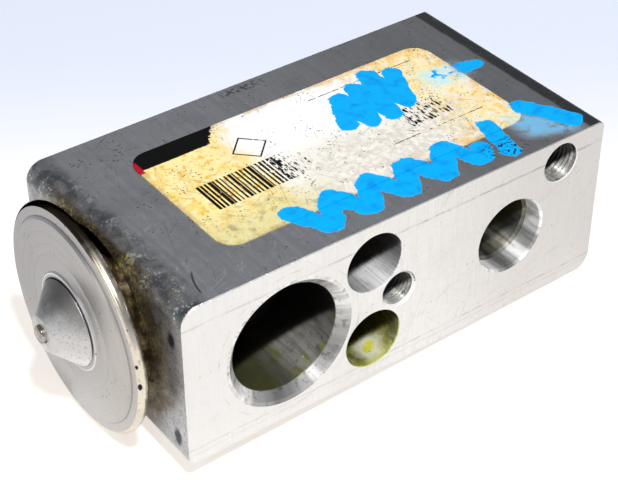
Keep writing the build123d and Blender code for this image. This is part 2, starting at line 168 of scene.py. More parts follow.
class Graph:
    """Short calls for the nodes of one tree. A number stands for a grey where a colour is asked for."""

    def __init__(self, tree):
        self.tree = tree

    def add(self, kind, **settings):
        node = self.tree.nodes.new(kind)
        for name, value in settings.items():
            setattr(node, name, value)
        return node

    def put(self, socket, value):
        if isinstance(value, Value):
            self.tree.links.new(value.socket, socket)
        elif value is not None:
            socket.default_value = value

    def fill(self, node, values):
        """Fills a node's inputs by name or number and gives its first output."""
        for name, value in values.items():
            self.put(node.inputs[name], value)
        return Value(self, node.outputs[0])

    def read(self, node):
        """A node's outputs by name."""
        return {socket.name: Value(self, socket) for socket in node.outputs}

    def math(self, operation, *values):
        return self.fill(self.add("ShaderNodeMath", operation=operation), dict(enumerate(values)))

    def vector(self, operation, first, second=None, scale=None):
        node = self.add("ShaderNodeVectorMath", operation=operation)
        self.fill(node, {0: first, 1: second} if scale is None else {0: first, "Scale": scale})
        return self.read(node)["Value" if operation in ("LENGTH", "DOT_PRODUCT") else "Vector"]

    def place(self):
        """Object coordinates in millimetres."""
        return self.vector("SCALE", self.read(self.add("ShaderNodeTexCoord"))["Object"], scale=1000.0)

    def split(self, vector):
        node = self.add("ShaderNodeSeparateXYZ")
        self.put(node.inputs[0], vector)
        return list(self.read(node).values())

    def join(self, *values):
        return self.fill(self.add("ShaderNodeCombineXYZ"), dict(enumerate(values)))

    def length(self, *values):
        return self.vector("LENGTH", self.join(*values))

    def mix(self, share, first, second, blend="MIX"):
        node = self.add("ShaderNodeMix", data_type="RGBA", blend_type=blend, clamp_factor=True)
        self.put(node.inputs[0], share)
        for socket, value in ((node.inputs[6], first), (node.inputs[7], second)):
            value = (value, value, value) if isinstance(value, float) else value
            self.put(socket, (*value, 1.0) if isinstance(value, tuple) else value)
        return Value(self, node.outputs[2])

    def around(self, first, second, stops):
        """Greys read off the angle about an axis: stops are (degrees from the first axis, grey)."""
        node = self.add("ShaderNodeValToRGB")
        node.color_ramp.interpolation = "EASE"
        elements = node.color_ramp.elements
        while len(elements) < len(stops):
            elements.new(0.5)
        for element, (degrees, _) in zip(elements, sorted(stops)):
            element.position = degrees / 360 + 0.5
        for element, (_, grey) in zip(elements, sorted(stops)):
            element.color = (grey, grey, grey, 1.0)
        return self.fill(node, {0: self.math("ARCTAN2", second, first) / (2 * pi) + 0.5})

    def group(self, tree, **values):
        """A node group's outputs by name, with its inputs filled."""
        node = self.add("ShaderNodeGroup", node_tree=tree)
        self.fill(node, values)
        return self.read(node)

    def dress(self, shader, **values):
        """Fills a shader's inputs by name, with an underscore for each space."""
        self.fill(shader, {name.replace("_", " "): value for name, value in values.items()})


def effect(name, inputs, outputs):
    """Starts a shader node group: inputs and outputs are (name, socket type) pairs."""
    tree = bpy.data.node_groups.new(name, "ShaderNodeTree")
    for socket_name, kind in inputs:
        tree.interface.new_socket(socket_name, in_out="INPUT", socket_type=kind)
    for socket_name, kind in outputs:
        tree.interface.new_socket(socket_name, in_out="OUTPUT", socket_type=kind)
    graph = Graph(tree)
    entry = graph.read(graph.add("NodeGroupInput"))
    leave = graph.add("NodeGroupOutput").inputs
    return tree, graph, entry, leave


FLOAT, VECTOR = "NodeSocketFloat", "NodeSocketVector"


def scratches_effect():
    """Fine straight scratches in three directions, broken into short lengths."""
    tree, g, entry, leave = effect(
        "fine scratches", [("Vector", VECTOR), ("Spacing", FLOAT), ("Amount", FLOAT)], [("Mask", FLOAT)]
    )
    found = None
    for turn, stretch, seed in ((0.35, 0.05, 3.0), (1.15, 0.04, 11.0), (-0.75, 0.07, 23.0)):
        turned = g.add("ShaderNodeVectorRotate", rotation_type="Z_AXIS")
        moved = g.fill(turned, {"Vector": entry["Vector"], "Angle": turn}).shifted(seed, seed, seed)
        across = moved.stretched(1.0, stretch, 1.0)
        lines = g.vector("SCALE", across, scale=entry["Spacing"]).noise(1.0, 1.0)
        thin = lines.near(0.5, 0.002, 0.01)
        kept = moved.patches(0.5, 0.62, 0.16, 2.0)
        line = thin * kept
        found = line if found is None else found.at_least(line)
    g.put(leave["Mask"], found * entry["Amount"])
    return tree


def specks_effect():
    """Small scattered specks of uneven size."""
    tree, g, entry, leave = effect(
        "specks", [("Vector", VECTOR), ("Spacing", FLOAT), ("Share", FLOAT)], [("Mask", FLOAT)]
    )
    wobble = entry["Vector"].noise(3.0, 2.0)
    scattered = {"Vector": entry["Vector"], "Scale": entry["Spacing"]}
    distance = g.fill(g.add("ShaderNodeTexVoronoi"), scattered)
    patch = entry["Vector"].noise(0.35, 2.0)
    size = entry["Share"] * patch.step(0.42, 0.7) * wobble.scaled(0.3, 1.6)
    g.put(leave["Mask"], g.math("GREATER_THAN", size, distance))
    return tree


def drawn_lines_effect():
    """Lines along Y that a die leaves on a drawn bar: one value for the height, one for the tone."""
    tree, g, entry, leave = effect("die lines", [("Vector", VECTOR)], [("Height", FLOAT), ("Tone", FLOAT)])
    fine = entry["Vector"].stretched(7.0, 0.05, 7.0).noise(1.0, 2.0)
    broad = entry["Vector"].stretched(1.1, 0.03, 1.1).noise(1.0, 3.0)
    g.put(leave["Height"], fine * 0.5 + broad)
    g.put(leave["Tone"], fine * 0.35 + broad * 0.65)
    return tree


def stroke_part_effect():
    """Distance from a straight run of a marker's stroke, in millimetres, on the upper face."""
    tree, g, entry, leave = effect(
        "stroke part", [("Vector", VECTOR), ("Start", VECTOR), ("Run", VECTOR)], [("Distance", FLOAT)]
    )
    away = g.vector("SUBTRACT", entry["Vector"], entry["Start"])
    run_squared = g.vector("DOT_PRODUCT", entry["Run"], entry["Run"])
    share = g.vector("DOT_PRODUCT", away, entry["Run"]) / run_squared
    held = share.at_least(0.0).at_most(1.0)
    rest = g.vector("SUBTRACT", away, g.vector("SCALE", entry["Run"], scale=held))
    g.put(leave["Distance"], g.vector("LENGTH", rest))
    return tree


# Strokes of a blue marker over label and metal, each as (half width, points on the upper face).
WAVY_LINE = tuple((-7.6 + 0.8 * n, 5.7 + 2.5 * cos(0.80 * n)) for n in range(38))
MARKER_STROKES = (
    (1.55, WAVY_LINE),
    (1.5, ((26.2, 8.6), (25.0, 2.2))),
    (1.7, ((33.4, 9.4), (35.4, 6.4), (36.9, 3.0))),
    # A scribbled patch and a dash behind them.
    (1.5, (
        (10.9, 20.2), (13.9, 26.2), (14.1, 19.2), (17.3, 27.2), (17.6, 18.9), (20.9, 28.9), (21.3, 20.2),
        (24.3, 27.3)
    )),
    (1.35, ((29.4, 22.9), (35.8, 22.0))),
)


def marker_effect():
    """Where blue marker covers the upper face, and where it has been washed to a pale film."""
    part = stroke_part_effect()
    tree, g, entry, leave = effect(
        "blue marker", [("Vector", VECTOR)],
        [("Mask", FLOAT), ("Film", FLOAT), ("Tone", FLOAT), ("Flaked", FLOAT)]
    )
    flat = entry["Vector"].stretched(1.0, 1.0, 0.0)
    drift = g.add("ShaderNodeTexNoise")
    g.fill(drift, {"Vector": flat, "Scale": 0.55, "Detail": 4.0})
    shift = g.vector("SCALE", g.read(drift)["Color"].shifted(-0.5, -0.5, -0.5), scale=1.5)
    place = g.vector("ADD", flat, shift).stretched(1.0, 1.0, 0.0)
    edge = None
    for half_width, points in MARKER_STROKES:
        for (x, y), (next_x, next_y) in zip(points, points[1:]):
            run = (next_x - x, next_y - y, 0.0)
            away = g.group(part, Vector=place, Start=(x, y, 0.0), Run=run)["Distance"]
            inside = half_width - away
            edge = inside if edge is None else edge.at_least(inside)
    x, y, _ = g.split(flat)
    ragged = edge + flat.sway(0.5, 2.2, 4.0)
    whole = ragged.step(-0.04, 0.08)
    torn = x.between(27.0, 32.5, 1.0) * y.between(19.0, 26.0, 1.5) * flat.patches(0.42, 0.5, 0.8, 4.0)
    g.put(leave["Mask"], whole * (1.0 - torn))
    flaked = x.between(21.5, 27.5, 1.2) * y.between(-2.0, 5.0, 1.2) * flat.patches(0.55, 0.57, 1.9, 4.0)
    g.put(leave["Flaked"], whole * flaked)
    near_far_corner = x.between(29.0, 36.5, 1.6) * (y + x * 0.35).between(13.0, 19.5, 1.4)
    near_bar = x.between(26.5, 33.5, 1.8) * y.between(19.8, 24.6, 1.4)
    cloud = flat.patches(0.3, 0.56, 0.45, 5.0, 0.6, 0.6)
    g.put(leave["Film"], near_far_corner.at_least(near_bar) * cloud)
    g.put(leave["Tone"], flat.noise(0.5, 5.0, 0.65))
    return tree


scratches = scratches_effect()
specks = specks_effect()


def scratched(place, spacing, amount):
    return place.graph.group(scratches, Vector=place, Spacing=spacing, Amount=amount)["Mask"]


def speckled(place, spacing, share):
    return place.graph.group(specks, Vector=place, Spacing=spacing, Share=share)["Mask"]


die_lines = drawn_lines_effect()
marker = marker_effect()


def finish(name, metallic=1.0, specular=0.5):
    """A new material, its graph, its shader and the place in millimetres."""
    material = bpy.data.materials.new(name)
    material.use_nodes = True
    g = Graph(material.node_tree)
    shader = material.node_tree.nodes["Principled BSDF"]
    g.dress(shader, Metallic=metallic, Specular_IOR_Level=specular, Coat_Roughness=0.1)
    return material, g, shader, g.place()


MARKER_BLUE, MARKER_DEEP, MARKER_DARK = (0.001, 0.40, 0.88), (0.001, 0.25, 0.70), (0.004, 0.012, 0.03)
FILM_BLUE = (0.15, 0.52, 0.84)


def drawn_aluminium():
    """Upper, under and end faces: dull drawn bar with scratches, oil at the head, blue marker, and painted
    shade and a painted highlight at the ends.
    """
    material, g, shader, place = finish("drawn_aluminium")
    x, y, z = g.split(place)
    lines = g.group(die_lines, Vector=place)
    mottle = place.noise(0.16, 4.0)
    colour = g.mix(lines["Tone"], (0.38, 0.39, 0.415), (0.80, 0.81, 0.83))
    colour.cover((0.36, 0.37, 0.39), mottle.step(0.45, 0.75), 0.35)
    # Painted shade: darker towards the far end, and darker still in a band along the rounded far top edge.
    # A painted highlight runs along the very edge.
    far_shade = x.step(-8.0, 34.0) * 0.55
    colour.cover((0.3, 0.295, 0.29), far_shade)
    far_edge_shade = (x + place.noise(0.5, 3.0) * 0.5).step(37.6, 38.2) * z.step(11.6, 12.0)
    colour.cover((0.05, 0.05, 0.052), far_edge_shade, 0.86)
    lip_highlight = x.step(40.0, 40.2) * z.step(10.6, 11.4)
    colour.cover((0.62, 0.62, 0.63), lip_highlight, 0.6)
    scratch = scratched(place, 1.1, 0.5)
    colour.cover((0.25, 0.25, 0.26), scratch)
    fresh = scratched(place.shifted(31.0, 17.0, 0.0), 1.5, 0.7)
    fresh = fresh * (x + y * 0.8).step(6.0, -16.0)
    colour.cover((0.93, 0.93, 0.94), fresh)
    colour.cover(0.12, speckled(place, 1.4, 0.3), 0.6)

    # Painted shade in a band along the edge at the head end, with knocks in it, bright where the metal is
    # bare.
    edge_band = (x + place.noise(0.3, 3.0) * 2.5).step(-23.6, -26.2) * z.step(9.0, 11.0)
    knock = speckled(place, 2.1, 0.6)
    streak = place.stretched(2.6, 1.0, 2.6).patches(0.6, 0.66, 1.0, 5.0, 0.7)
    bare = edge_band * knock.at_least(streak * 0.8)
    patchy_shade = place.patches(0.4, 0.6, 0.5, 3.0).scaled(0.45, 0.85)
    colour.cover((0.105, 0.115, 0.12), edge_band, patchy_shade)
    colour.cover((0.86, 0.87, 0.88), bare, 0.75)

    bend = g.math("POWER", (y - 1.7).at_least(0.0), 2.0)
    gouge = (x - bend * 0.07).near(-25.4, 0.06, 0.14)
    gouge = gouge * y.between(1.8, 5.8, 0.5) * z.step(12.3, 12.6) * 0.8
    colour.cover((0.03, 0.03, 0.035), gouge)

    # Old oil and dust round the power head.
    from_axis = g.length(0.0, y - AXIS_Y, z)
    drift = place.sway(9.0, 0.35, 4.0)
    on_end = x.step(-27.6, -28.8)
    soaked = on_end * (from_axis + drift).step(19.5, 14.5)
    crept = x.step(-24.6, -28.0) * y.between(4.0, 20.0, 3.5) * place.patches(0.42, 0.62, 0.4, 4.0)
    oil = soaked.at_least(crept * 0.6)
    oil_colour = g.mix(place.patches(0.3, 0.7, 1.7, 5.0, 0.7), (0.012, 0.008, 0.004), (0.15, 0.105, 0.045))
    golden = place.patches(0.46, 0.6, 0.35, 3.0) * place.patches(0.45, 0.6, 2.2, 4.0)
    oil_colour.cover((0.42, 0.34, 0.06), golden, 0.8)
    colour.cover(oil_colour, oil, 0.93)
    dust = on_end * place.patches(0.56, 0.62, 3.2, 4.0, 0.7) * from_axis.step(30.0, 17.0)
    colour.cover((0.05, 0.04, 0.03), dust, 0.75)
    for dot_y, dot_z, dot_radius in ((2.6, 6.8, 0.72), (2.5, -9.4, 0.8)):
        away = g.length(0.0, y - dot_y, (z - dot_z) * 0.55)
        away = away + place.sway(0.8, 1.5, 3.0)
        dot = on_end * away.step(dot_radius + 0.25, dot_radius - 0.25)
        colour.cover((0.008, 0.008, 0.05), dot, 0.92)

    # Faint ink near the back edge, and the marker.
    on_top = z.step(12.5, 12.7)
    ink = on_top * x.between(1.2, 8.0, 0.6) * y.between(36.2, 37.6, 0.3)
    colour.cover((0.05, 0.05, 0.055), ink, place.patches(0.48, 0.56, 1.6, 3.0), 0.75)
    blue = g.group(marker, Vector=place)
    film = on_top * blue["Film"] * 0.85
    cover = on_top * blue["Mask"]
    colour.cover(FILM_BLUE, film)
    colour.cover(g.mix(blue["Tone"].step(0.25, 0.55), MARKER_DEEP, MARKER_BLUE), cover)
    colour.cover(MARKER_DARK, on_top, blue["Flaked"])

    dull = place.noise(0.7, 4.0).scaled(0.3, 0.48)
    height = lines["Height"] * 0.6 + scratch * -0.5 + bare * -1.2 + cover * 0.8
    height = height + oil * place.noise(1.6, 4.0) * 3.0
    g.dress(
        shader, Base_Color=colour, Metallic=1.0 - cover.at_least(film).at_least(oil * 0.55),
        Specular_IOR_Level=cover.scaled(0.5, 0.08), Roughness=dull.at_least(cover * 0.5) - oil * 0.12,
        Coat_Weight=oil * 0.7, Normal=height.bump(0.00002, 0.6)
    )
    return material


def milled_aluminium():
    """The two machined faces: bright, with cutter lines, witness lines, a few stains, painted highlights on
    burrs, and painted light and shade along them.
    """
    material, g, shader, place = finish("milled_aluminium")
    x, y, z = g.split(place)
    cutter = place.stretched(4.5, 1.0, 0.12).noise(1.0, 3.0)
    sweep = place.stretched(0.5, 1.0, 0.05).noise(1.0, 3.0)
    cloud = place.noise(0.13, 4.0)
    colour = g.mix(cutter.step(0.25, 0.75), (0.9, 0.885, 0.865), (1.0, 0.99, 0.975))
    colour.cover((0.82, 0.79, 0.765), cloud.step(0.46, 0.76), 0.28)
    # Painted shade: darker towards the far end.
    colour.cover((0.72, 0.7, 0.68), x.step(4.0, 30.0), 0.62)
    hatch = place.stretched(1.2, 1.0, 1.2).noise(1.0, 5.0, 0.75)
    colour.cover((0.66, 0.64, 0.62), hatch.step(0.5, 0.72), 0.35)
    # Burrs along the top front edge: raised, with painted highlights on them.
    burr_highlight = z.step(12.25, 12.5) * x.between(-26.5, -5.0, 2.0) * place.patches(0.55, 0.6, 1.6, 3.0)
    colour.cover(0.98, burr_highlight)
    lines = None
    for height, width, strength in ((9.65, 0.07, 0.8), (-10.3, 0.05, 0.6), (-11.2, 0.03, 0.3)):
        wave = z + place.sway(0.5, 0.3, 2.0)
        kept = place.shifted(0.0, 0.0, height).patches(0.4, 0.6, 0.5, 3.0)
        line = wave.near(height, width, 0.16) * kept.scaled(0.3, 1.0) * strength
        lines = line if lines is None else lines.at_least(line)
    from_port = g.length(x - SUCTION_X, 0.0, z)
    ring = from_port.near(11.1, 0.05, 0.12) * place.patches(0.45, 0.6, 0.35, 3.0)
    lines = lines.at_least(ring * 0.6)
    colour.cover((0.36, 0.34, 0.32), lines, 0.7)
    scratch = scratched(g.join(x, z, y), 0.8, 0.22)
    colour.cover((0.45, 0.43, 0.41), scratch)
    colour.cover((0.26, 0.22, 0.19), speckled(place, 1.3, 0.16), 0.6)
    stain = place.shifted(40.0, 0.0, 9.0).patches(0.6, 0.78, 0.22, 4.0) * 0.35
    colour.cover((0.74, 0.66, 0.55), stain)
    height = cutter * 1.2 + sweep * 1.6 + lines * -1.0 + scratch * -0.8 + burr_highlight * 2.0
    # Painted light: paler towards the head end.
    g.dress(
        shader, Base_Color=g.mix(x.step(8.0, -20.0) * 0.5, colour, (1.0, 0.99, 0.98), "LIGHTEN"),
        Roughness=place.noise(0.6, 4.0).scaled(0.3, 0.46), Normal=height.bump(0.00002, 0.55)
    )
    return material


# Colour of the painted shadow deep in a bore.
BORE_SHADOW_COLOUR = (0.004, 0.003, 0.002)


def painted_bore_shadow(g, y, across, rise, start, colour, shadow_colour=BORE_SHADOW_COLOUR):
    """Painted shadow in a bore: its wall turns dark deeper in, and nearer the mouth on its upper side."""
    reach = y.at_most(DEPTH - y) + rise + across * -0.2
    return g.mix(reach.step(start, start + 1.2) * 0.97, colour, shadow_colour)


# Greys round a bore's wall, as (degrees from +X towards +Z, grey): where lamps and floor show in it.
SHEEN = (
    (-180, 0.85), (-143, 0.8), (-120, 0.26), (-98, 0.09), (-82, 0.22), (-70, 0.4), (-62, 1.0), (-54, 0.55),
    (-36, 0.18), (-14, 0.26), (12, 0.75), (90, 0.92), (180, 0.85)
)
MOUTH_SHEEN = (
    (-180, 0.85), (-143, 0.85), (-120, 0.75), (-104, 0.45), (-92, 0.15), (-80, 0.2), (-70, 0.55),
    (-62, 1.0), (-52, 0.95), (-46, 0.5), (-38, 0.28), (-28, 0.28), (-18, 0.6), (-4, 0.95), (40, 1.0),
    (180, 0.85)
)
WALL_SHEEN = (
    (-180, 0.25), (-110, 0.25), (-86, 0.38), (-74, 0.6), (-64, 0.9), (-56, 1.0), (-44, 0.86), (-28, 0.68),
    (0, 0.52), (180, 0.25)
)


def turned_metal(
    name, colour_low, colour_high, roughness, centre, axis, ring_scale=5.0, depth=0.55, stains=(), bare=1.0,
    shadow_from=None, sheen=0.0, stops=SHEEN, shadow_colour=BORE_SHADOW_COLOUR, minus_x_tint=None
):
    """A turned or bored surface, with painted reflections and painted shadow where asked for. Stains are
    (colour, scale, low, high, share).
    """
    material, g, shader, place = finish(name, metallic=bare)
    away = g.vector("SUBTRACT", place, centre)
    x, y, z = g.split(away)
    first, second, along = {"X": (y, z, x), "Y": (x, z, y), "Z": (x, y, z)}[axis]
    radius = g.length(first, second, 0.0)
    rings = g.join(radius * ring_scale, along * ring_scale, 0.0).noise(1.0, 3.0)
    broad = g.join(radius * 0.9, along * 0.9, 0.0).noise(1.0, 2.0)
    colour = g.mix(rings * 0.5 + broad * 0.5, colour_low, colour_high)
    scratch = scratched(g.join(first, second, along), 1.2, 0.35)
    colour.cover(tuple(0.5 * part for part in colour_low), scratch)
    for number, (stain_colour, scale, low, high, share) in enumerate(stains):
        spread = place.shifted(17.0 * number, 5.0, 3.0).patches(low, high, scale, 4.0)
        colour.cover(stain_colour, spread, share)
    # Painted reflections round the wall, broken into streaks.
    if sheen:
        shine = g.mix(1.0, g.around(x, z, stops), 1.25, "MULTIPLY")
        turn = g.math("ARCTAN2", z, x) * 7.0
        streaks = g.join(turn, along * 0.12, 0.0).noise(1.0, 4.0, 0.6)
        shine = g.mix(1.0, shine, g.mix(streaks.step(0.38, 0.6), 0.68, 1.15), "MULTIPLY")
        colour.cover(g.mix(1.0, colour, shine, "MULTIPLY"), sheen)
    # Darker olive towards -X, in patches.
    if minus_x_tint:
        colour.cover(minus_x_tint, x.step(3.0, -2.0), place.patches(0.2, 0.5, 0.4, 4.0), 0.85)
    # Painted shadow deeper in the bore.
    if shadow_from is not None:
        colour = painted_bore_shadow(g, y, x, z, shadow_from, colour, shadow_colour)
    g.dress(
        shader, Base_Color=colour,
        Roughness=place.noise(0.8, 4.0).scaled(roughness * 0.75, roughness * 1.3),
        Normal=(rings + scratch * -0.6).bump(0.000015, depth)
    )
    return material


def screw_head_bore():
    """Bores for the screw heads: brushed grey above, wet with yellow-green oil below, with painted
    reflections, painted light and glints on the oil, and painted shadow deeper in.
    """
    material, g, shader, place = finish("screw_head_bore", metallic=0.25)
    x, y, z = g.split(place)
    rings = place.stretched(0.4, 5.0, 0.4).noise(1.0, 3.0)
    across = place.stretched(2.6, 0.22, 2.6).noise(1.0, 4.0)
    brushed = (rings * 0.25 + across * 0.75).step(0.28, 0.58)
    lower = z.step(0.5, -0.5)
    rise = z - lower.scaled(FIXING_Z, -FIXING_Z)
    # Painted reflections round the wall, from just inside the mouth on.
    shine = g.around(
        x, rise,
        (
            (-180, 0.25), (-130, 0.3), (-104, 0.5), (-82, 0.86), (-64, 1.0), (-48, 0.82), (-30, 0.42),
            (-10, 0.26), (180, 0.2)
        )
    )
    colour = g.mix(brushed, (0.56, 0.56, 0.58), 1.0)
    oil = g.mix(place.patches(0.3, 0.6, 0.5, 3.0), (0.34, 0.33, 0.03), (0.8, 0.8, 0.22))
    # Painted light on the oil of the lower bore: a pale pool where the lamp falls, yellow oil at its heart,
    # and painted glints to its right.
    from_lit_blot = g.length(x - 1.4, y - 2.9, rise + 4.3)
    lit_blot = from_lit_blot + place.sway(2.4, 0.9, 4.0)
    oil.cover((1.0, 1.0, 0.8), lit_blot.step(2.9, 0.9))
    oil.cover((0.93, 0.92, 0.06), (lit_blot + across * 1.2).step(2.0, 0.9))
    glint = place.shifted(3.0, 0.0, 6.0).patches(0.56, 0.62, 1.4, 4.0) * x.step(1.0, 2.4)
    oil.cover((0.96, 0.96, 0.9), glint, 0.85)
    oil.cover((0.05, 0.05, 0.02), speckled(place, 2.2, 0.5), 0.7)
    colour.cover(oil, lower, 0.95)
    shone = g.mix(1.0, colour, shine, "MULTIPLY")
    colour = g.mix(y.step(0.3, 0.1), shone, colour)
    # Painted shadow deeper in, with a ragged edge.
    ragged = rise + place.sway(1.1, 1.3, 4.0)
    shadow_colour = g.mix(lower, (0.055, 0.046, 0.040), (0.075, 0.068, 0.008))
    g.dress(
        shader,
        Base_Color=painted_bore_shadow(
            g, y, x, ragged, -0.1, colour, g.mix(0.5, shadow_colour, g.mix(1.0, shadow_colour, brushed, "MULTIPLY"))
        ),
        Roughness=across.scaled(0.26, 0.42) - lower * 0.1, Coat_Weight=lower * 0.5,
        Normal=(rings + across).bump(0.00002, 0.5)
    )
    return material


def label_film():
    """Worn label: yellowed at both ends, rubbed white in the middle, with remains of its print."""
    material, g, shader, place = finish("label_film", metallic=0.0, specular=0.1)
    x, y, _ = g.split(place)
    grain = place.noise(1.2, 5.0)
    cloud = place.noise(0.22, 5.0, 0.6)
    bloom = place.shifted(7.0, 31.0, 0.0).noise(0.42, 4.0, 0.65, 0.4)
    colour = g.mix(grain, (0.80, 0.76, 0.66), (0.94, 0.92, 0.87))
    drift = (cloud - 0.5) * 9.0
    moved = x + drift
    old = moved.step(-2.0, -8.0).at_least(moved.step(19.0, 25.0) * 0.72)
    colour.cover((0.93, 0.76, 0.3), old, 0.88)
    amber = old * bloom.step(0.47, 0.62)
    colour.cover((0.88, 0.58, 0.09), amber, 0.6)
    spots = old * place.patches(0.56, 0.62, 1.1, 3.0)
    colour.cover((0.82, 0.47, 0.07), spots, 0.8)
    pale = place.patches(0.58, 0.68, 0.75, 4.0) * old
    colour.cover((0.95, 0.9, 0.68), pale, 0.5)
    low_corner = moved.step(4.0, -6.0) * (y + drift * 0.4).step(15.5, 8.5)
    colour.cover((0.66, 0.62, 0.3), low_corner, 0.75)
    smudge = low_corner * place.patches(0.5, 0.66, 0.5, 4.0, 0.6)
    colour.cover((0.22, 0.2, 0.11), smudge, 0.6)
    rubbed = moved.between(-3.0, 17.0, 3.0) * y.step(17.0, 23.0)
    colour.cover((0.97, 0.965, 0.955), rubbed, 0.85)
    dirty = moved.between(0.0, 27.0, 3.0) * y.step(20.5, 15.0) * grain.step(0.35, 0.65)
    colour.cover((0.52, 0.47, 0.4), dirty, 0.65)
    rim = (LABEL_HALF_LENGTH - abs(x - LABEL_X)).at_most(LABEL_HALF_WIDTH - abs(y - LABEL_Y))
    edge = rim.step(1.1, 0.1) * place.patches(0.4, 0.6, 0.5, 3.0).scaled(0.2, 0.7)
    colour.cover((0.5, 0.36, 0.14), edge)
    far_edge = rim.step(3.6, 0.6) * x.step(8.0, 20.0) * place.patches(0.42, 0.58, 0.7, 4.0)
    colour.cover((0.84, 0.5, 0.1), far_edge, 0.75)
    lilac = x.step(14.0, 22.0) * place.shifted(5.0, 60.0, 0.0).patches(0.52, 0.62, 0.6, 4.0, 0.65)
    colour.cover((0.8, 0.78, 0.8), lilac, 0.6)

    # Scuffs and specks.
    scratch = scratched(place, 0.9, 0.5)
    colour.cover((0.3, 0.26, 0.21), scratch)
    colour.cover((0.97, 0.97, 0.95), scratched(place.shifted(9.0, 4.0, 0.0), 1.4, 0.35))
    colour.cover((0.05, 0.045, 0.04), speckled(place, 2.0, 0.3), 0.8)

    # Remains of the print: bars, a frame line, a diamond outline and a solid band.
    flake = place.stretched(1.9, 0.9, 1.0).noise(1.0, 4.0, 0.65)
    bar_place = x / 0.62
    bar_number = {"Vector": g.join(g.math("FLOOR", bar_place), 2.0, 5.0)}
    bar_width = g.fill(g.add("ShaderNodeTexWhiteNoise"), bar_number).scaled(0.3, 1.05)
    bar = g.math("GREATER_THAN", bar_width, g.math("FRACT", bar_place))
    first_bars = x.between(-14.4, 2.2, 0.02) * y.between(14.3, 20.2, 0.04)
    kept = (flake + x.step(-7.0, 2.5) * -0.3).step(0.3, 0.34)
    last_bars = x.between(17.4, 25.2, 0.02) * y.between(14.4, 19.0, 0.04) * flake.step(0.5, 0.54)
    print_left = bar * (first_bars * kept).at_least(last_bars)
    flecks = moved.between(3.0, 27.0, 2.0) * y.between(12.5, 20.5, 1.0)
    flecks = flecks * place.stretched(2.6, 1.1, 1.0).patches(0.66, 0.7, 1.0, 3.0)
    line = y.near(28.4, 0.05, 0.06) * x.between(10.0, 28.5, 0.1) * flake.step(0.4, 0.46)
    low_line = y.near(12.6, 0.05, 0.06) * x.between(13.0, 29.0, 0.1) * flake.step(0.46, 0.52)
    from_diamond = abs(x + 3.1) + abs(y - 23.8)
    diamond = from_diamond.near(2.7, 0.14, 0.06) * (flake + x.step(-3.0, 0.0) * -0.12).step(0.3, 0.36)
    band_end = x + (y - 27.6) * -0.75 + place.sway(1.8, 2.4, 3.0)
    band_low = y + (grain - 0.5) * 0.35
    band = band_low.step(27.55, 27.7) * band_end.step(-7.0, -7.3)
    for mask in (print_left, flecks, line, low_line, diamond, band):
        colour.cover(0.002, mask)
    red = x.step(-17.4, -17.7) * y.step(26.6, 27.2) * y.step(30.4, 29.2)
    colour.cover((0.42, 0.006, 0.025), red)

    blue = g.group(marker, Vector=place)
    film = blue["Film"] * 0.8
    colour.cover(g.mix(grain, (0.3, 0.7, 0.8), (0.66, 0.86, 0.86)), film)
    colour.cover(g.mix(blue["Tone"].step(0.25, 0.55), MARKER_DEEP, MARKER_BLUE), blue["Mask"])
    height = grain + scratch * -1.0 + blue["Mask"] * 0.8 + band * 0.4
    g.dress(
        shader, Base_Color=colour, Roughness=grain.scaled(0.42, 0.68), Normal=height.bump(0.00002, 0.45)
    )
    return material


def head_steel():
    """Satin stainless of the power head's front: faint turned rings, nicks and a little dirt, with painted
    light and shade, a painted highlight on the collar and painted shadow in the gap.
    """
    material, g, shader, place = finish("head_steel")
    x, y, z = g.split(place)
    across = y - AXIS_Y
    radius = g.length(0.0, across, z)
    rings = g.join(radius * 2.6, 0.0, 0.0).noise(1.0, 3.0)
    broad = g.join(radius * 0.55, 4.0, 0.0).noise(1.0, 1.0)
    cloud = place.noise(0.18, 4.0)
    colour = g.mix(rings * 0.35 + broad * 0.4 + cloud * 0.25, (0.43, 0.425, 0.425), (0.58, 0.575, 0.57))
    faint = None
    for line_radius in (9.46, 10.9, 12.6):
        wander = radius + place.sway(0.9, 0.12, 2.0)
        line = wander.near(line_radius, 0.03, 0.16)
        faint = line if faint is None else faint.at_least(line)
    colour.cover(0.28, faint, 0.22)
    # Painted light: paler lower down and warmer towards the front; painted shade towards the back.
    colour.cover((0.72, 0.715, 0.71), z.step(-2.0, -13.0), 0.7)
    colour.cover((0.66, 0.62, 0.57), across.step(-1.0, -13.0), 0.6)
    colour.cover((0.4, 0.395, 0.4), across.step(-3.0, 14.0), 0.35)
    # Painted shade in a thin line on the step by the rim.
    groove_shade = radius.near(14.6, 0.03, 0.1) * x.step(-33.5, -33.8)
    colour.cover((0.12, 0.11, 0.1), groove_shade, 0.45)
    # Painted highlight on the collar round the cone.
    lip_highlight = radius.near(6.8, 0.06, 0.06) * x.step(-34.25, -34.4)
    colour.cover(0.95, lip_highlight)
    # Painted shadow in the gap at the cone's foot, on its upper side.
    gap = radius.step(6.42, 6.34) * x.step(-33.6, -33.7) * z.step(-2.5, 0.5) * 0.96
    colour.cover(0.006, gap)
    scratch = scratched(g.join(y, z, x), 0.9, 0.35)
    colour.cover((0.34, 0.33, 0.33), scratch)
    colour.cover((0.12, 0.1, 0.09), speckled(place, 1.1, 0.2), 0.7)
    height = rings * 0.7 + broad * 1.2 + faint * -0.6 + scratch * -0.6
    g.dress(shader, Base_Color=colour, Roughness=cloud.scaled(0.3, 0.42), Normal=height.bump(0.00002, 0.5))
    return material


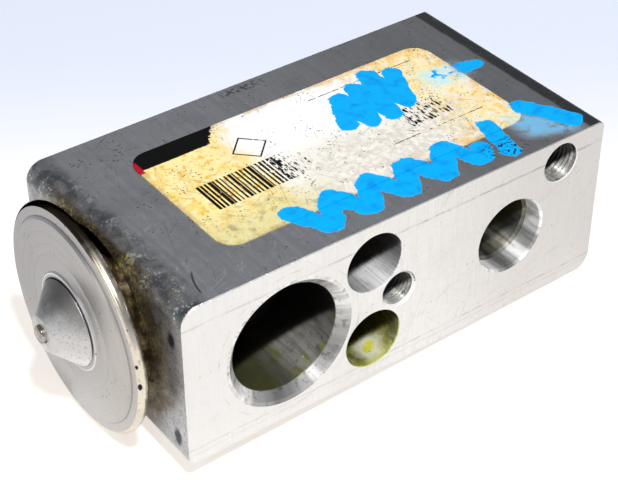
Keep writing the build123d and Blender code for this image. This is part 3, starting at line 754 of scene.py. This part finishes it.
def rim_steel():
    """Rounded, rubbed edge of the power head, with warm tints and nicks, and a painted dark reflection
    round its upper side.
    """
    material, g, shader, place = finish("rim_steel")
    x, y, z = g.split(place)
    tint = place.noise(0.16, 3.0)
    colour = g.mix(tint.step(0.35, 0.65), (0.86, 0.79, 0.68), (0.99, 0.9, 0.72))
    worn = place.stretched(3.0, 0.8, 0.8).noise(1.0, 4.0)
    colour.cover((0.36, 0.31, 0.26), worn.step(0.55, 0.75), 0.5)
    back = x.step(-33.2, -32.4)
    grime = back * place.patches(0.4, 0.6, 0.6, 4.0)
    colour.cover((0.1, 0.065, 0.03), grime, 0.85)
    # Painted reflection: the rim's upper side dark, in its colour and in the tint of its reflections.
    turn = g.math("ARCTAN2", z, y - AXIS_Y)
    wander = place.sway(0.35, 0.5, 4.0)
    dark_reflection = (turn + wander).step(0.15, 0.6) * (turn + wander).step(2.2, 1.85)
    colour.cover(g.mix(worn, (0.008, 0.005, 0.003), (0.04, 0.028, 0.018)), dark_reflection, 0.96)
    opposite = g.math("ARCTAN2", z * -1.0, AXIS_Y - y)
    for nick_turn, nick_x, nick_size in ((-0.19, -33.6, 0.22), (0.0, -33.5, 0.36)):
        along_rim = (opposite - nick_turn) * RIM_RADIUS
        away = g.length(along_rim * 0.6, (x - nick_x) * 1.2, 0.0)
        away = away + place.sway(0.3, 2.0, 2.0)
        colour.cover((0.03, 0.018, 0.04), away.step(nick_size, nick_size * 0.6))
    colour.cover((0.08, 0.06, 0.05), speckled(place, 1.4, 0.2), 0.8)
    g.dress(
        shader, Base_Color=colour, Specular_Tint=g.mix(dark_reflection, 1.0, (0.05, 0.036, 0.026)),
        Roughness=worn.scaled(0.12, 0.28), Normal=worn.bump(0.00002, 0.4)
    )
    return material


def cone_steel():
    """Matt grey of the pressed cone, with painted shade above, painted light below, and a painted shadow
    black in the gap at its foot.
    """
    material, g, shader, place = finish("cone_steel")
    x, _, z = g.split(place)
    cloud = place.noise(0.5, 4.0)
    grain = place.noise(3.0, 4.0, 0.7)
    height = z + (cloud - 0.5) * 3.0
    colour = g.mix(grain, (0.68, 0.67, 0.66), (0.80, 0.79, 0.78))
    # Painted shade on the upper side and painted light on the lower side.
    colour.cover((0.13, 0.125, 0.12), height.step(0.8, 5.0), 0.88)
    colour.cover((0.98, 0.97, 0.95), height.step(-0.5, -4.0), 1.0)
    colour.cover(0.12, grain.step(0.57, 0.63), 0.5)
    # Painted shadow in the gap at the foot, on its upper side.
    colour.cover(0.006, x.step(-34.62, -34.5), z.step(-2.5, 0.5), 0.9)
    g.dress(shader, Base_Color=colour, Roughness=cloud.scaled(0.4, 0.52), Normal=grain.bump(0.000015, 0.4))
    return material


def moulded_rubber():
    """Green moulded rubber of the seals."""
    material, g, shader, place = finish("moulded_rubber", metallic=0.0, specular=0.4)
    grain = place.noise(2.5, 4.0)
    g.dress(
        shader, Base_Color=g.mix(grain, (0.012, 0.1, 0.055), (0.03, 0.2, 0.11)),
        Roughness=grain.scaled(0.38, 0.6), Normal=grain.bump(0.00002, 0.4)
    )
    return material


HEAD_AXIS = (0.0, AXIS_Y, 0.0)
SUCTION_AXIS, INLET_AXIS, OUTLET_AXIS = (SUCTION_X, 0.0, 0.0), (INLET_X, 0.0, 0.0), (OUTLET_X, 0.0, 0.0)
CENTRE_TAP, CORNER_TAP = (CENTRE_TAP_X, 0.0, 0.0), (CORNER_TAP_X, 0.0, CORNER_TAP_Z)
OLIVE, AMBER_OIL = (0.17, 0.17, 0.03), (0.30, 0.22, 0.03)
drawn = drawn_aluminium()
milled = milled_aluminium()
bright_cut = turned_metal(
    "bright_cut", (0.8, 0.79, 0.77), (0.97, 0.96, 0.94), 0.3, SUCTION_AXIS, "Y", bare=0.6, sheen=0.8,
    stains=((AMBER_OIL, 0.5, 0.62, 0.74, 0.4), ((0.16, 0.16, 0.13), 1.2, 0.56, 0.66, 0.5))
)
suction_wall = turned_metal(
    "suction_wall", (0.13, 0.13, 0.12), (0.28, 0.275, 0.255), 0.4, SUCTION_AXIS, "Y", bare=0.2, sheen=1.0,
    stains=(
        # Olive oil, yellow oil spots painted bright as glints, and dark stains.
        (OLIVE, 0.4, 0.5, 0.66, 0.75), ((0.55, 0.5, 0.16), 2.0, 0.64, 0.7, 0.55),
        ((0.03, 0.03, 0.03), 0.9, 0.6, 0.68, 0.5)
    ),
    shadow_from=-0.2, stops=WALL_SHEEN, minus_x_tint=(0.06, 0.062, 0.02)
)
inlet_wall = turned_metal(
    "inlet_wall", (0.52, 0.51, 0.45), (0.92, 0.91, 0.84), 0.24, INLET_AXIS, "Y", bare=0.5, sheen=1.0,
    stains=((AMBER_OIL, 0.28, 0.45, 0.62, 0.6), (OLIVE, 0.22, 0.5, 0.62, 0.5)),
    shadow_from=1.9, shadow_colour=(0.085, 0.072, 0.03)
)
inlet_mouth = turned_metal(
    "inlet_mouth", (0.92, 0.91, 0.89), (1.0, 1.0, 0.99), 0.3, INLET_AXIS, "Y", bare=0.3, sheen=1.0,
    stops=MOUTH_SHEEN
)
outlet_wall = turned_metal(
    "outlet_wall", (0.42, 0.41, 0.37), (0.66, 0.65, 0.6), 0.24, OUTLET_AXIS, "Y", bare=0.5,
    stains=((OLIVE, 0.25, 0.5, 0.65, 0.5),), shadow_from=2.0
)
head_bore = turned_metal(
    "head_bore", (0.30, 0.29, 0.26), (0.48, 0.47, 0.43), 0.3, HEAD_AXIS, "X",
    stains=((OLIVE, 0.3, 0.5, 0.65, 0.5),)
)
centre_tap_wall, corner_tap_wall = [
    turned_metal(
        name, (0.64, 0.64, 0.59), (1.0, 1.0, 0.95), 0.28, centre, "Y", 5.0, 1.0, bare=0.4, sheen=0.6,
        stains=((OLIVE, 0.7, 0.52, 0.66, 0.5), ((0.05, 0.05, 0.04), 1.6, 0.58, 0.64, 0.7)), shadow_from=-0.4
    )
    for name, centre in (("centre_tap_wall", CENTRE_TAP), ("corner_tap_wall", CORNER_TAP))
]
tap_mouth = turned_metal("tap_mouth", (0.9, 0.89, 0.87), (1.0, 0.99, 0.97), 0.3, CENTRE_TAP, "Y", bare=0.25)
screw_bore = screw_head_bore()
label_look = label_film()
head_front = head_steel()
head_rim = rim_steel()
cone_look = cone_steel()
pin_look = turned_metal(
    "plug_steel", (0.46, 0.44, 0.41), (0.66, 0.63, 0.58), 0.16, HEAD_AXIS, "X", 4.0, 0.3,
    stains=(((0.1, 0.07, 0.04), 0.9, 0.46, 0.62, 0.75),)
)
rod_look = turned_metal(
    "rod_steel", (0.34, 0.33, 0.28), (0.52, 0.50, 0.44), 0.26, HEAD_AXIS, "X",
    stains=((AMBER_OIL, 0.4, 0.5, 0.64, 0.5),)
)
spring_look = turned_metal("spring_steel", (0.42,) * 3, (0.6,) * 3, 0.28, HEAD_AXIS, "X", 6.0, 0.3)
ball_look = turned_metal("ball_steel", (0.74,) * 3, (0.86,) * 3, 0.1, HEAD_AXIS, "X", 2.0, 0.1)
brass_look = turned_metal(
    "screw_brass", (0.62, 0.45, 0.2), (0.78, 0.6, 0.3), 0.26, HEAD_AXIS, "X", 4.0, 0.6,
    stains=(((0.28, 0.18, 0.08), 0.4, 0.52, 0.7, 0.45),)
)
rubber_look = moulded_rubber()


# ================= Meshes =================
def placed(name, data):
    """A new object in the scene."""
    made = bpy.data.objects.new(name, data)
    bpy.context.scene.collection.objects.link(made)
    return made


def skin(shape, loops):
    """Faces from each loop of points to the next."""
    for first, second in zip(loops, loops[1:]):
        for number in range(len(first)):
            beside = (number + 1) % len(first)
            shape.faces.new((first[number], first[beside], second[beside], second[number]))


def turned_into_object(name, shape):
    """An object of a finished shape, which is used up."""
    mesh = bpy.data.meshes.new(name)
    shape.to_mesh(mesh)
    shape.free()
    return placed(name, mesh)


def rounded(corners, steps=5):
    """Points of a profile whose corners are (first, second, radius of the corner's arc)."""
    points = []
    for number, (u, v, radius) in enumerate(corners):
        here = Vector((u, v))
        if radius <= 0:
            points.append(here)
            continue
        back = Vector(corners[number - 1][:2]) - here
        ahead = Vector(corners[(number + 1) % len(corners)][:2]) - here
        half = back.angle(ahead) / 2
        back.normalize()
        ahead.normalize()
        reach = radius / tan(half)
        centre = here + (back + ahead).normalized() * (radius / sin(half))
        first, last = here + back * reach - centre, here + ahead * reach - centre
        turn = first.angle_signed(last)
        for part in range(steps + 1):
            points.append(centre + Matrix.Rotation(-turn * part / steps, 2) @ first)
    return [tuple(point) for point in points]


def lathe(name, profile, centre=HEAD_AXIS, axis="X", segments=160):
    """A closed turned mesh. The profile is a loop of (place along the axis, radius), in millimetres."""
    shape = bmesh.new()
    rings = []
    for number in range(segments):
        angle = 2 * pi * number / segments
        ring = []
        for along, radius in profile:
            side, rise = radius * cos(angle), radius * sin(angle)
            offset = (along, side, rise) if axis == "X" else (side, along, rise)
            ring.append(shape.verts.new((Vector(centre) + Vector(offset)) * MM))
        rings.append(ring)
    skin(shape, rings + rings[:1])
    bmesh.ops.remove_doubles(shape, verts=shape.verts, dist=1e-7)
    bmesh.ops.dissolve_degenerate(shape, edges=shape.edges, dist=1e-8)
    bmesh.ops.recalc_face_normals(shape, faces=shape.faces)
    return turned_into_object(name, shape)


def smooth(made, degrees=28.0):
    """Smooth shading with sharp edges kept, and flat faces kept flat."""
    made.data.polygons.foreach_set("use_smooth", [True] * len(made.data.polygons))
    made.data.set_sharp_from_angle(angle=radians(degrees))


def baked(made, name):
    """A plain mesh object of what the modifiers make, in place of the object."""
    bpy.context.view_layer.update()
    graph = bpy.context.evaluated_depsgraph_get()
    shown = made.evaluated_get(graph)
    mesh = bpy.data.meshes.new_from_object(shown, preserve_all_data_layers=True, depsgraph=graph)
    bpy.data.objects.remove(made)
    mesh.name = name
    return placed(name, mesh)


def settle(made, body, nodes=()):
    """Rides a finished piece on a body, in place of its solids."""
    if nodes:
        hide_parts(*nodes)
    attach(made, body)
    return made


# ---- Block ----
def bar_mesh():
    """The drawn bar, its cut ends barely broken at the edges."""
    break_edge = 0.12
    steps = 14
    corners = (
        (FAR_END, 1, SHARPER_CORNER), (HEAD_END, 1, CORNER), (HEAD_END, -1, SHARPER_CORNER),
        (FAR_END, -1, CORNER)
    )
    shape = bmesh.new()
    loops = []
    for y, inset in ((0.0, break_edge), (break_edge, 0.0), (DEPTH - break_edge, 0.0), (DEPTH, break_edge)):
        loop = []
        for quarter, (end, side, corner) in enumerate(corners):
            centre_x = end - corner if end > 0 else end + corner
            centre_z = side * (HALF_HEIGHT - corner)
            reach = corner - inset
            for part in range(steps + 1):
                angle = radians(90 * quarter + 90 * part / steps)
                point = Vector((centre_x + reach * cos(angle), y, centre_z + reach * sin(angle)))
                loop.append(shape.verts.new(point * MM))
        loops.append(loop)
    skin(shape, loops)
    for loop in (loops[0], loops[-1]):
        shape.faces.new(loop)
    bmesh.ops.recalc_face_normals(shape, faces=shape.faces)
    shape.normal_update()
    for face in shape.faces:
        face.material_index = 1 if abs(face.normal.y) > 0.5 else 0
    made = turned_into_object("bar", shape)
    for material in (drawn, milled):
        made.data.materials.append(material)
    return made


MOUTH = -2.0  # A depth before the face: what is finished from here is finished from the mouth on.


def bore(centre, face_y, inward, steps, materials, segments=128):
    """A cutter for a stepped bore. Steps are (depth, radius), and finishes (depth from which, material)."""
    profile = [(face_y - inward, 0.0), (face_y - inward, steps[0][1])]
    profile += [(face_y + inward * depth, radius) for depth, radius in steps]
    if steps[-1][1] > 0:
        profile.append((face_y + inward * steps[-1][0], 0.0))
    cutter = lathe("cutter", profile, centre, "Y", segments)
    for _, material in materials:
        cutter.data.materials.append(material)
    for face in cutter.data.polygons:
        depth = (face.center.y / MM - face_y) * inward
        face.material_index = max([n for n, (start, _) in enumerate(materials) if depth >= start] or [0])
    return cutter


bar = bar_mesh()
spigot_steps = [
    (0.0, 9.85), (0.13, 9.28), (0.2, 9.22), (1.22, 8.2), (1.3, SPIGOT_RADIUS),
    (SPIGOT_DEPTH, SPIGOT_RADIUS), (SPIGOT_DEPTH, SUCTION_RADIUS), (19.3, SUCTION_RADIUS)
]
spigot_finish = [(MOUTH, bright_cut), (1.25, suction_wall)]
inlet_steps = [
    (0.0, 5.94), (0.3, 5.64), (0.4, INLET_MOUTH_RADIUS), (3.0, INLET_MOUTH_RADIUS), (3.42, INLET_RADIUS),
    (12.5, INLET_RADIUS), (13.82, INLET_PASSAGE_RADIUS), (20.4, INLET_PASSAGE_RADIUS)
]
outlet_steps = [
    (0.0, 7.22), (0.55, 6.64), (0.65, OUTLET_RADIUS), (11.0, OUTLET_RADIUS), (12.92, OUTLET_PASSAGE_RADIUS),
    (18.0, OUTLET_PASSAGE_RADIUS), (20.04, 0.0)
]
screw_steps = [
    (0.0, 4.56), (0.08, SCREW_HEAD_RADIUS), (SCREW_HEAD_DEPTH, SCREW_HEAD_RADIUS),
    (SCREW_HEAD_DEPTH, SCREW_RADIUS), (DEPTH + 1, SCREW_RADIUS)
]
cutters = [
    bore(SUCTION_AXIS, 0.0, 1, spigot_steps, spigot_finish, 160),
    bore(SUCTION_AXIS, DEPTH, -1, spigot_steps, spigot_finish, 160),
    bore(INLET_AXIS, 0.0, 1, inlet_steps, [(MOUTH, inlet_mouth), (3.0, inlet_wall)]),
    bore(OUTLET_AXIS, DEPTH, -1, outlet_steps, [(MOUTH, outlet_wall)])
]
for centre, mouth, chamfer, radius, wall in (
    (CENTRE_TAP, CENTRE_TAP_MOUTH, 0.39, CENTRE_TAP_RADIUS, centre_tap_wall),
    (CORNER_TAP, CORNER_TAP_MOUTH, 0.12, CORNER_TAP_RADIUS, corner_tap_wall)
):
    tap_steps = [(0.0, mouth), (chamfer, radius), (TAP_DEPTH, radius), (TAP_DEPTH + TAP_TAIL, 0.0)]
    cutters.append(bore(centre, 0.0, 1, tap_steps, [(MOUTH, tap_mouth), (chamfer, wall)], 96))
for side in (1, -1):
    cutters.append(bore((0.0, 0.0, side * FIXING_Z), 0.0, 1, screw_steps, [(MOUTH, screw_bore)], 96))

# Along the valve's axis: the bores for the head, the rod, the ball, the spring and the adjusting screw.
axis_profile = [
    (HEAD_END - 1, 0.0), (HEAD_END - 1, 11.6), (HEAD_END + 1.55, 11.6), (HEAD_END + 1.55, HEAD_SEAT_RADIUS),
    (HEAD_END + 7.5, HEAD_SEAT_RADIUS), (HEAD_END + 7.5, HEAD_BORE_RADIUS), (SUCTION_X, HEAD_BORE_RADIUS),
    (SUCTION_X, ROD_SEAL_RADIUS), (-4.15, ROD_SEAL_RADIUS), (-4.15, ROD_RADIUS), (OUTLET_X, ROD_RADIUS),
    (OUTLET_X, 1.6), (16.91, 1.6), (18.91, 3.6), (19.61, 3.6), (19.61, SPRING_BORE_RADIUS),
    (34.9, SPRING_BORE_RADIUS), (34.9, ADJUSTER_RADIUS), (39.91, ADJUSTER_RADIUS), (FAR_END, 6.5),
    (FAR_END + 1, 6.5), (FAR_END + 1, 0.0)
]
axis_cutter = lathe("cutter", axis_profile, segments=128)
axis_cutter.data.materials.append(head_bore)
cutters.append(axis_cutter)
for cutter in cutters:
    tool = bar.modifiers.new("cut", "BOOLEAN")
    tool.operation = "DIFFERENCE"
    tool.solver = "EXACT"
    tool.material_mode = "TRANSFER"
    tool.object = cutter
    cutter.hide_render = True
block = baked(bar, "block_body")
for cutter in cutters:
    bpy.data.objects.remove(cutter)
smooth(block)
flat_first = block.modifiers.new("flat faces first", "WEIGHTED_NORMAL")
flat_first.keep_sharp = True
flat_first.weight = 100
block = baked(block, "block_body")
settle(block, "valve_body", ["valve_block"])

# ---- Power head ----
RIM_BACK, SEAM, RIM_FRONT = HEAD_END - 2.55, -32.96, -33.77
lower_profile = rounded([
    (SEAM, RIM_RADIUS, 0), (RIM_BACK, RIM_RADIUS, 0.7), (RIM_BACK, 14.4, 0.4), (HEAD_END, 12.4, 0.2),
    (HEAD_END, 9.95, 0), (-22.7, 9.95, 0), (-22.3, 9.55, 0), (-22.3, 7.6, 0),
    (HEAD_END - 0.75, 7.6, 0.3), (HEAD_END - 0.75, 11.98, 0.2), (-32.9, 13.93, 0.2), (SEAM, 13.93, 0)
])
upper_profile = rounded([
    (SEAM, RIM_RADIUS, 0), (RIM_FRONT, RIM_RADIUS, 0.7), (RIM_FRONT, 14.66, 0.1), (FACE_PLANE, 14.25, 0.15),
    (FACE_PLANE, 9.5, 0.0), (FACE_PLANE + 0.03, 9.35, 0.0), (FACE_PLANE, 9.2, 0.0), (FACE_PLANE, 7.15, 0.1),
    (LIP_PLANE, 6.85, 0.14), (LIP_PLANE, 6.17, 0.1), (-33.4, 6.17, 0), (-33.4, 13.9, 0.1),
    (-33.1, 14.2, 0), (SEAM, 14.2, 0)
])
cone_profile = rounded([
    (-33.4, 6.15, 0), (CONE_FOOT, 6.15, 0.35), (-38.37, 2.55, 0.22), (-38.37, 1.32, 0.05),
    (-37.57, 1.32, 0), (-33.87, 5.35, 0), (-33.4, 5.35, 0)
])
pin_profile = rounded([(-38.92, 0.0, 0), (-38.92, 1.3, 0.3), (-37.12, 1.3, 0), (-37.12, 0.0, 0)])


def head_piece(name, profile, node, inner, outer, split_radius=100.0, segments=192):
    """A turned piece of the head, with one finish inside a radius and another outside it."""
    made = lathe(name, profile, segments=segments)
    for material in (inner, outer):
        made.data.materials.append(material)
    for face in made.data.polygons:
        centre = face.center / MM
        face.material_index = 1 if hypot(centre.y - AXIS_Y, centre.z) > split_radius else 0
    smooth(made)
    settle(made, "valve_body", [node])


head_piece("head_back_cover", lower_profile, "head_lower_cover", head_rim, head_rim)
head_piece("head_front_cover", upper_profile, "head_upper_cover", head_front, head_rim, 15.9)
head_piece("filling_cone", cone_profile, "charge_cone", cone_look, cone_look, segments=144)
head_piece("filling_plug", pin_profile, "charge_pin", pin_look, pin_look, segments=64)


# ---- Threads of the tapped holes ----
def thread_tree():
    """Ridges that wind up a tapped wall, fading at both ends and cut back by the chamfer at the mouth."""
    tree = bpy.data.node_groups.new("thread ridges", "GeometryNodeTree")
    tree.interface.new_socket("Geometry", in_out="INPUT", socket_type="NodeSocketGeometry")
    for name in ("Wall Radius", "Ridge Height", "Pitch", "Length", "Mouth Radius"):
        tree.interface.new_socket(name, in_out="INPUT", socket_type=FLOAT)
    tree.interface.new_socket("Centre", in_out="INPUT", socket_type=VECTOR)
    tree.interface.new_socket("Material", in_out="INPUT", socket_type="NodeSocketMaterial")
    tree.interface.new_socket("Geometry", in_out="OUTPUT", socket_type="NodeSocketGeometry")
    g = Graph(tree)
    entry = g.read(g.add("NodeGroupInput"))
    turns = entry["Length"] / entry["Pitch"]
    per_turn, across = 40, 4
    count = g.fill(g.add("FunctionNodeFloatToInt"), {0: g.math("MULTIPLY_ADD", turns, per_turn, 1.0)})
    sizes = {"Vertices X": count, "Vertices Y": across, "Size X": 1.0, "Size Y": 1.0}
    grid = g.fill(g.add("GeometryNodeMeshGrid"), sizes)
    u, v, _ = g.split(g.read(g.add("GeometryNodeInputPosition"))["Position"])
    along = u + 0.5
    corner = g.math("ROUND", (v + 0.5) * float(across - 1))
    crest = corner.equals(1.0)
    side = corner.equals(2.0) - (corner.equals(0.0) + corner.equals(3.0))
    angle = along * turns * (2 * pi)
    fade = (along * turns * 3.0).at_most(1.0) * ((1.0 - along) * turns * 3.0).at_most(1.0)
    depth = along * entry["Length"] + side * entry["Pitch"] * 0.44 + entry["Pitch"] * 0.5
    sunk = 0.00002
    radius = entry["Wall Radius"] + sunk - crest * fade * (entry["Ridge Height"] + sunk)
    radius = radius.at_least(entry["Mouth Radius"] - depth)
    place = g.join(radius * g.math("COSINE", angle), depth, radius * g.math("SINE", angle))
    wound = {"Geometry": grid, "Position": g.vector("ADD", place, entry["Centre"])}
    wound = g.fill(g.add("GeometryNodeSetPosition"), wound)
    merged = g.fill(g.add("GeometryNodeMergeByDistance"), {"Geometry": wound, "Distance": 1e-7})
    plain = g.fill(g.add("GeometryNodeRealizeInstances"), {0: merged})
    looks = {"Geometry": plain, "Material": entry["Material"]}
    painted = g.fill(g.add("GeometryNodeSetMaterial"), looks)
    g.put(g.add("NodeGroupOutput").inputs[0], painted)
    return tree


threads = thread_tree()


def thread(name, centre, wall, ridge, pitch, length, mouth, look):
    """Winds ridges up a tapped hole that opens towards -Y."""
    holder = placed("thread holder", bpy.data.meshes.new("empty"))
    winding = holder.modifiers.new("winding", "NODES")
    winding.node_group = threads
    values = {
        "Wall Radius": wall * MM, "Ridge Height": ridge * MM, "Pitch": pitch * MM, "Length": length * MM,
        "Mouth Radius": mouth * MM, "Centre": tuple(part * MM for part in centre), "Material": look
    }
    for item in threads.interface.items_tree:
        if item.in_out == "INPUT" and item.name in values:
            winding[item.identifier] = values[item.name]
    made = baked(holder, name)
    shape = bmesh.new()
    shape.from_mesh(made.data)
    bmesh.ops.recalc_face_normals(shape, faces=shape.faces)
    shape.to_mesh(made.data)
    shape.free()
    smooth(made, 40.0)
    settle(made, "valve_body")


thread("centre_thread", CENTRE_TAP, CENTRE_TAP_RADIUS, 0.24, 0.6, 10.4, CENTRE_TAP_MOUTH, centre_tap_wall)
thread("corner_thread", CORNER_TAP, CORNER_TAP_RADIUS, 0.26, 0.7, 10.0, CORNER_TAP_MOUTH, corner_tap_wall)

# ---- Superheat spring: made in two halves, in place of its solid ----
SPRING_TURNS, WIRE_RADIUS = 5, 0.55
spring_low, spring_high = (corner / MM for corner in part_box("superheat_spring"))


def spring_half(name, first_share, last_share):
    """A closed stretch of the wire between two shares of its length."""
    first, last = spring_low.x + WIRE_RADIUS, spring_high.x - WIRE_RADIUS
    coil_radius = (spring_high.z - spring_low.z) / 2 - WIRE_RADIUS
    lead = (last - first) / (2 * pi * SPRING_TURNS * coil_radius)
    steps, around_wire = 160, 16
    shape = bmesh.new()
    rings = []
    for step in range(steps + 1):
        share = first_share + (last_share - first_share) * step / steps
        turn = 2 * pi * SPRING_TURNS * share
        outward = Vector((0.0, cos(turn), sin(turn)))
        across = Vector((lead, -sin(turn), cos(turn))).normalized().cross(outward)
        centre = Vector((first + (last - first) * share, AXIS_Y, 0.0)) + outward * coil_radius
        ring = []
        for number in range(around_wire):
            angle = 2 * pi * number / around_wire
            offset = (outward * cos(angle) + across * sin(angle)) * WIRE_RADIUS
            ring.append(shape.verts.new((centre + offset) * MM))
        rings.append(ring)
    skin(shape, rings)
    for ring in (rings[0], rings[-1]):
        shape.faces.new(ring)
    bmesh.ops.recalc_face_normals(shape, faces=shape.faces)
    made = turned_into_object(name, shape)
    made.data.materials.append(spring_look)
    smooth(made, 40.0)
    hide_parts("superheat_spring")
    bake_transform(made)


spring_half("spring_ball_half", 0.0, 0.5)
spring_half("spring_screw_half", 0.5, 1.0)

# ---- Looks of the solids that are shown as they are ----
node_looks = {
    "label": label_look, "diaphragm": spring_look, "head_seal_ring": rubber_look,
    "diaphragm_stopper": rod_look, "sensing_rod": rod_look, "push_pin": rod_look, "rod_o_ring": rubber_look,
    "o_ring_retainer": spring_look, "valve_ball": ball_look, "ball_holder": rod_look,
    "damper_ring": spring_look, "adjusting_screw": brass_look, "adjuster_o_ring": rubber_look
}
for node, look in node_looks.items():
    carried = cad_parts[node]
    carried.data.materials.clear()
    carried.data.materials.append(look)


# ================= Stage =================
def floor_look():
    """Pale floor: white to the eye and in reflections, with the object's soft shadow kept."""
    material = bpy.data.materials.new("pale_floor")
    material.use_nodes = True
    g = Graph(material.node_tree)
    nodes = material.node_tree.nodes
    nodes.remove(nodes["Principled BSDF"])
    place = g.place()
    seen = g.read(g.add("ShaderNodeLightPath"))
    looked_at = seen["Is Camera Ray"]
    colour = g.mix(looked_at, g.mix(place.noise(0.02, 2.0), 0.41, 0.43), 0.52)
    matt = g.fill(g.add("ShaderNodeBsdfDiffuse"), {"Color": colour})
    # Painted fall-off of the light: the glow is warm near the object and fainter and bluer far off.
    far_off = g.vector("DOT_PRODUCT", place, (0.59, 0.81, 0.0)).step(10.0, 90.0)
    bounced = g.mix(far_off, (0.86, 0.80, 0.75), (0.385, 0.445, 0.56))
    shown = g.mix(far_off, (0.7, 0.645, 0.59), (0.287, 0.343, 0.463))
    mirrored = seen["Is Glossy Ray"].at_least(seen["Is Transmission Ray"])
    strength = looked_at + mirrored * 0.5 + seen["Is Diffuse Ray"] * 0.35
    glow = {"Color": g.mix(looked_at, bounced, shown), "Strength": strength}
    glow = g.fill(g.add("ShaderNodeEmission"), glow)
    both = g.fill(g.add("ShaderNodeAddShader"), {0: matt, 1: glow})
    g.put(nodes["Material Output"].inputs["Surface"], both)
    return material


def floor():
    """The plane that the head's rim and the block's far lower edge stand on."""
    half_width = 1500.0
    sideways = Vector((0.0, 1.0, 0.0))
    touch_head, touch_far = Vector((-33.0, AXIS_Y, -RIM_RADIUS)), Vector((38.6, AXIS_Y, -HALF_HEIGHT))
    along = (touch_far - touch_head).normalized()
    centre = (touch_head + touch_far) / 2
    corners = []
    for ahead, aside in ((-1, -1), (1, -1), (1, 1), (-1, 1)):
        corners.append((centre + (along * ahead + sideways * aside) * half_width) * MM)
    mesh = bpy.data.meshes.new("floor")
    mesh.from_pydata(corners, [], [(0, 1, 2, 3)])
    mesh.materials.append(floor_look())
    made = placed("floor", mesh)


def softbox(name, place, watts, size):
    """A square lamp that faces the object."""
    data = bpy.data.lights.new(name, "AREA")
    data.energy = watts
    data.size = size
    lamp = placed(name, data)
    lamp.location = place
    lamp.rotation_euler = (Vector((0.0, 0.018, 0.0)) - Vector(place)).to_track_quat("-Z", "Y").to_euler()


floor()
softbox("key", (-0.107, -0.273, 0.524), 3.2, 0.05)
softbox("left_fill", (-0.50, -0.10, 0.34), 0.6, 0.40)
softbox("top_fill", (-0.05, 0.02, 0.62), 0.3, 0.50)

world = bpy.data.worlds.new("studio")
bpy.context.scene.world = world
world.use_nodes = True
g = Graph(world.node_tree)
height = g.split(g.read(g.add("ShaderNodeTexCoord"))["Generated"])[2]
sky = g.mix(height.step(-0.05, 0.45), (0.62, 0.63, 0.66), (0.24, 0.245, 0.26))
g.put(world.node_tree.nodes["Background"].inputs["Color"], sky)

camera_data = bpy.data.cameras.new("camera")
camera_data.sensor_width = 36.0
camera_data.lens = 95.105
camera_data.clip_start = 0.005
camera = placed("camera", camera_data)
camera_at = Matrix.Translation((-0.10501, -0.12867, 0.13733))
right = (0.804998, -0.593271, -0.002831)
up = (0.362556, 0.488157, 0.793887)
back = (-0.469608, -0.640104, 0.608059)
camera.matrix_world = camera_at @ Matrix((right, up, back)).transposed().to_4x4()
bpy.context.scene.camera = camera
bpy.context.scene.view_settings.view_transform = "Standard"
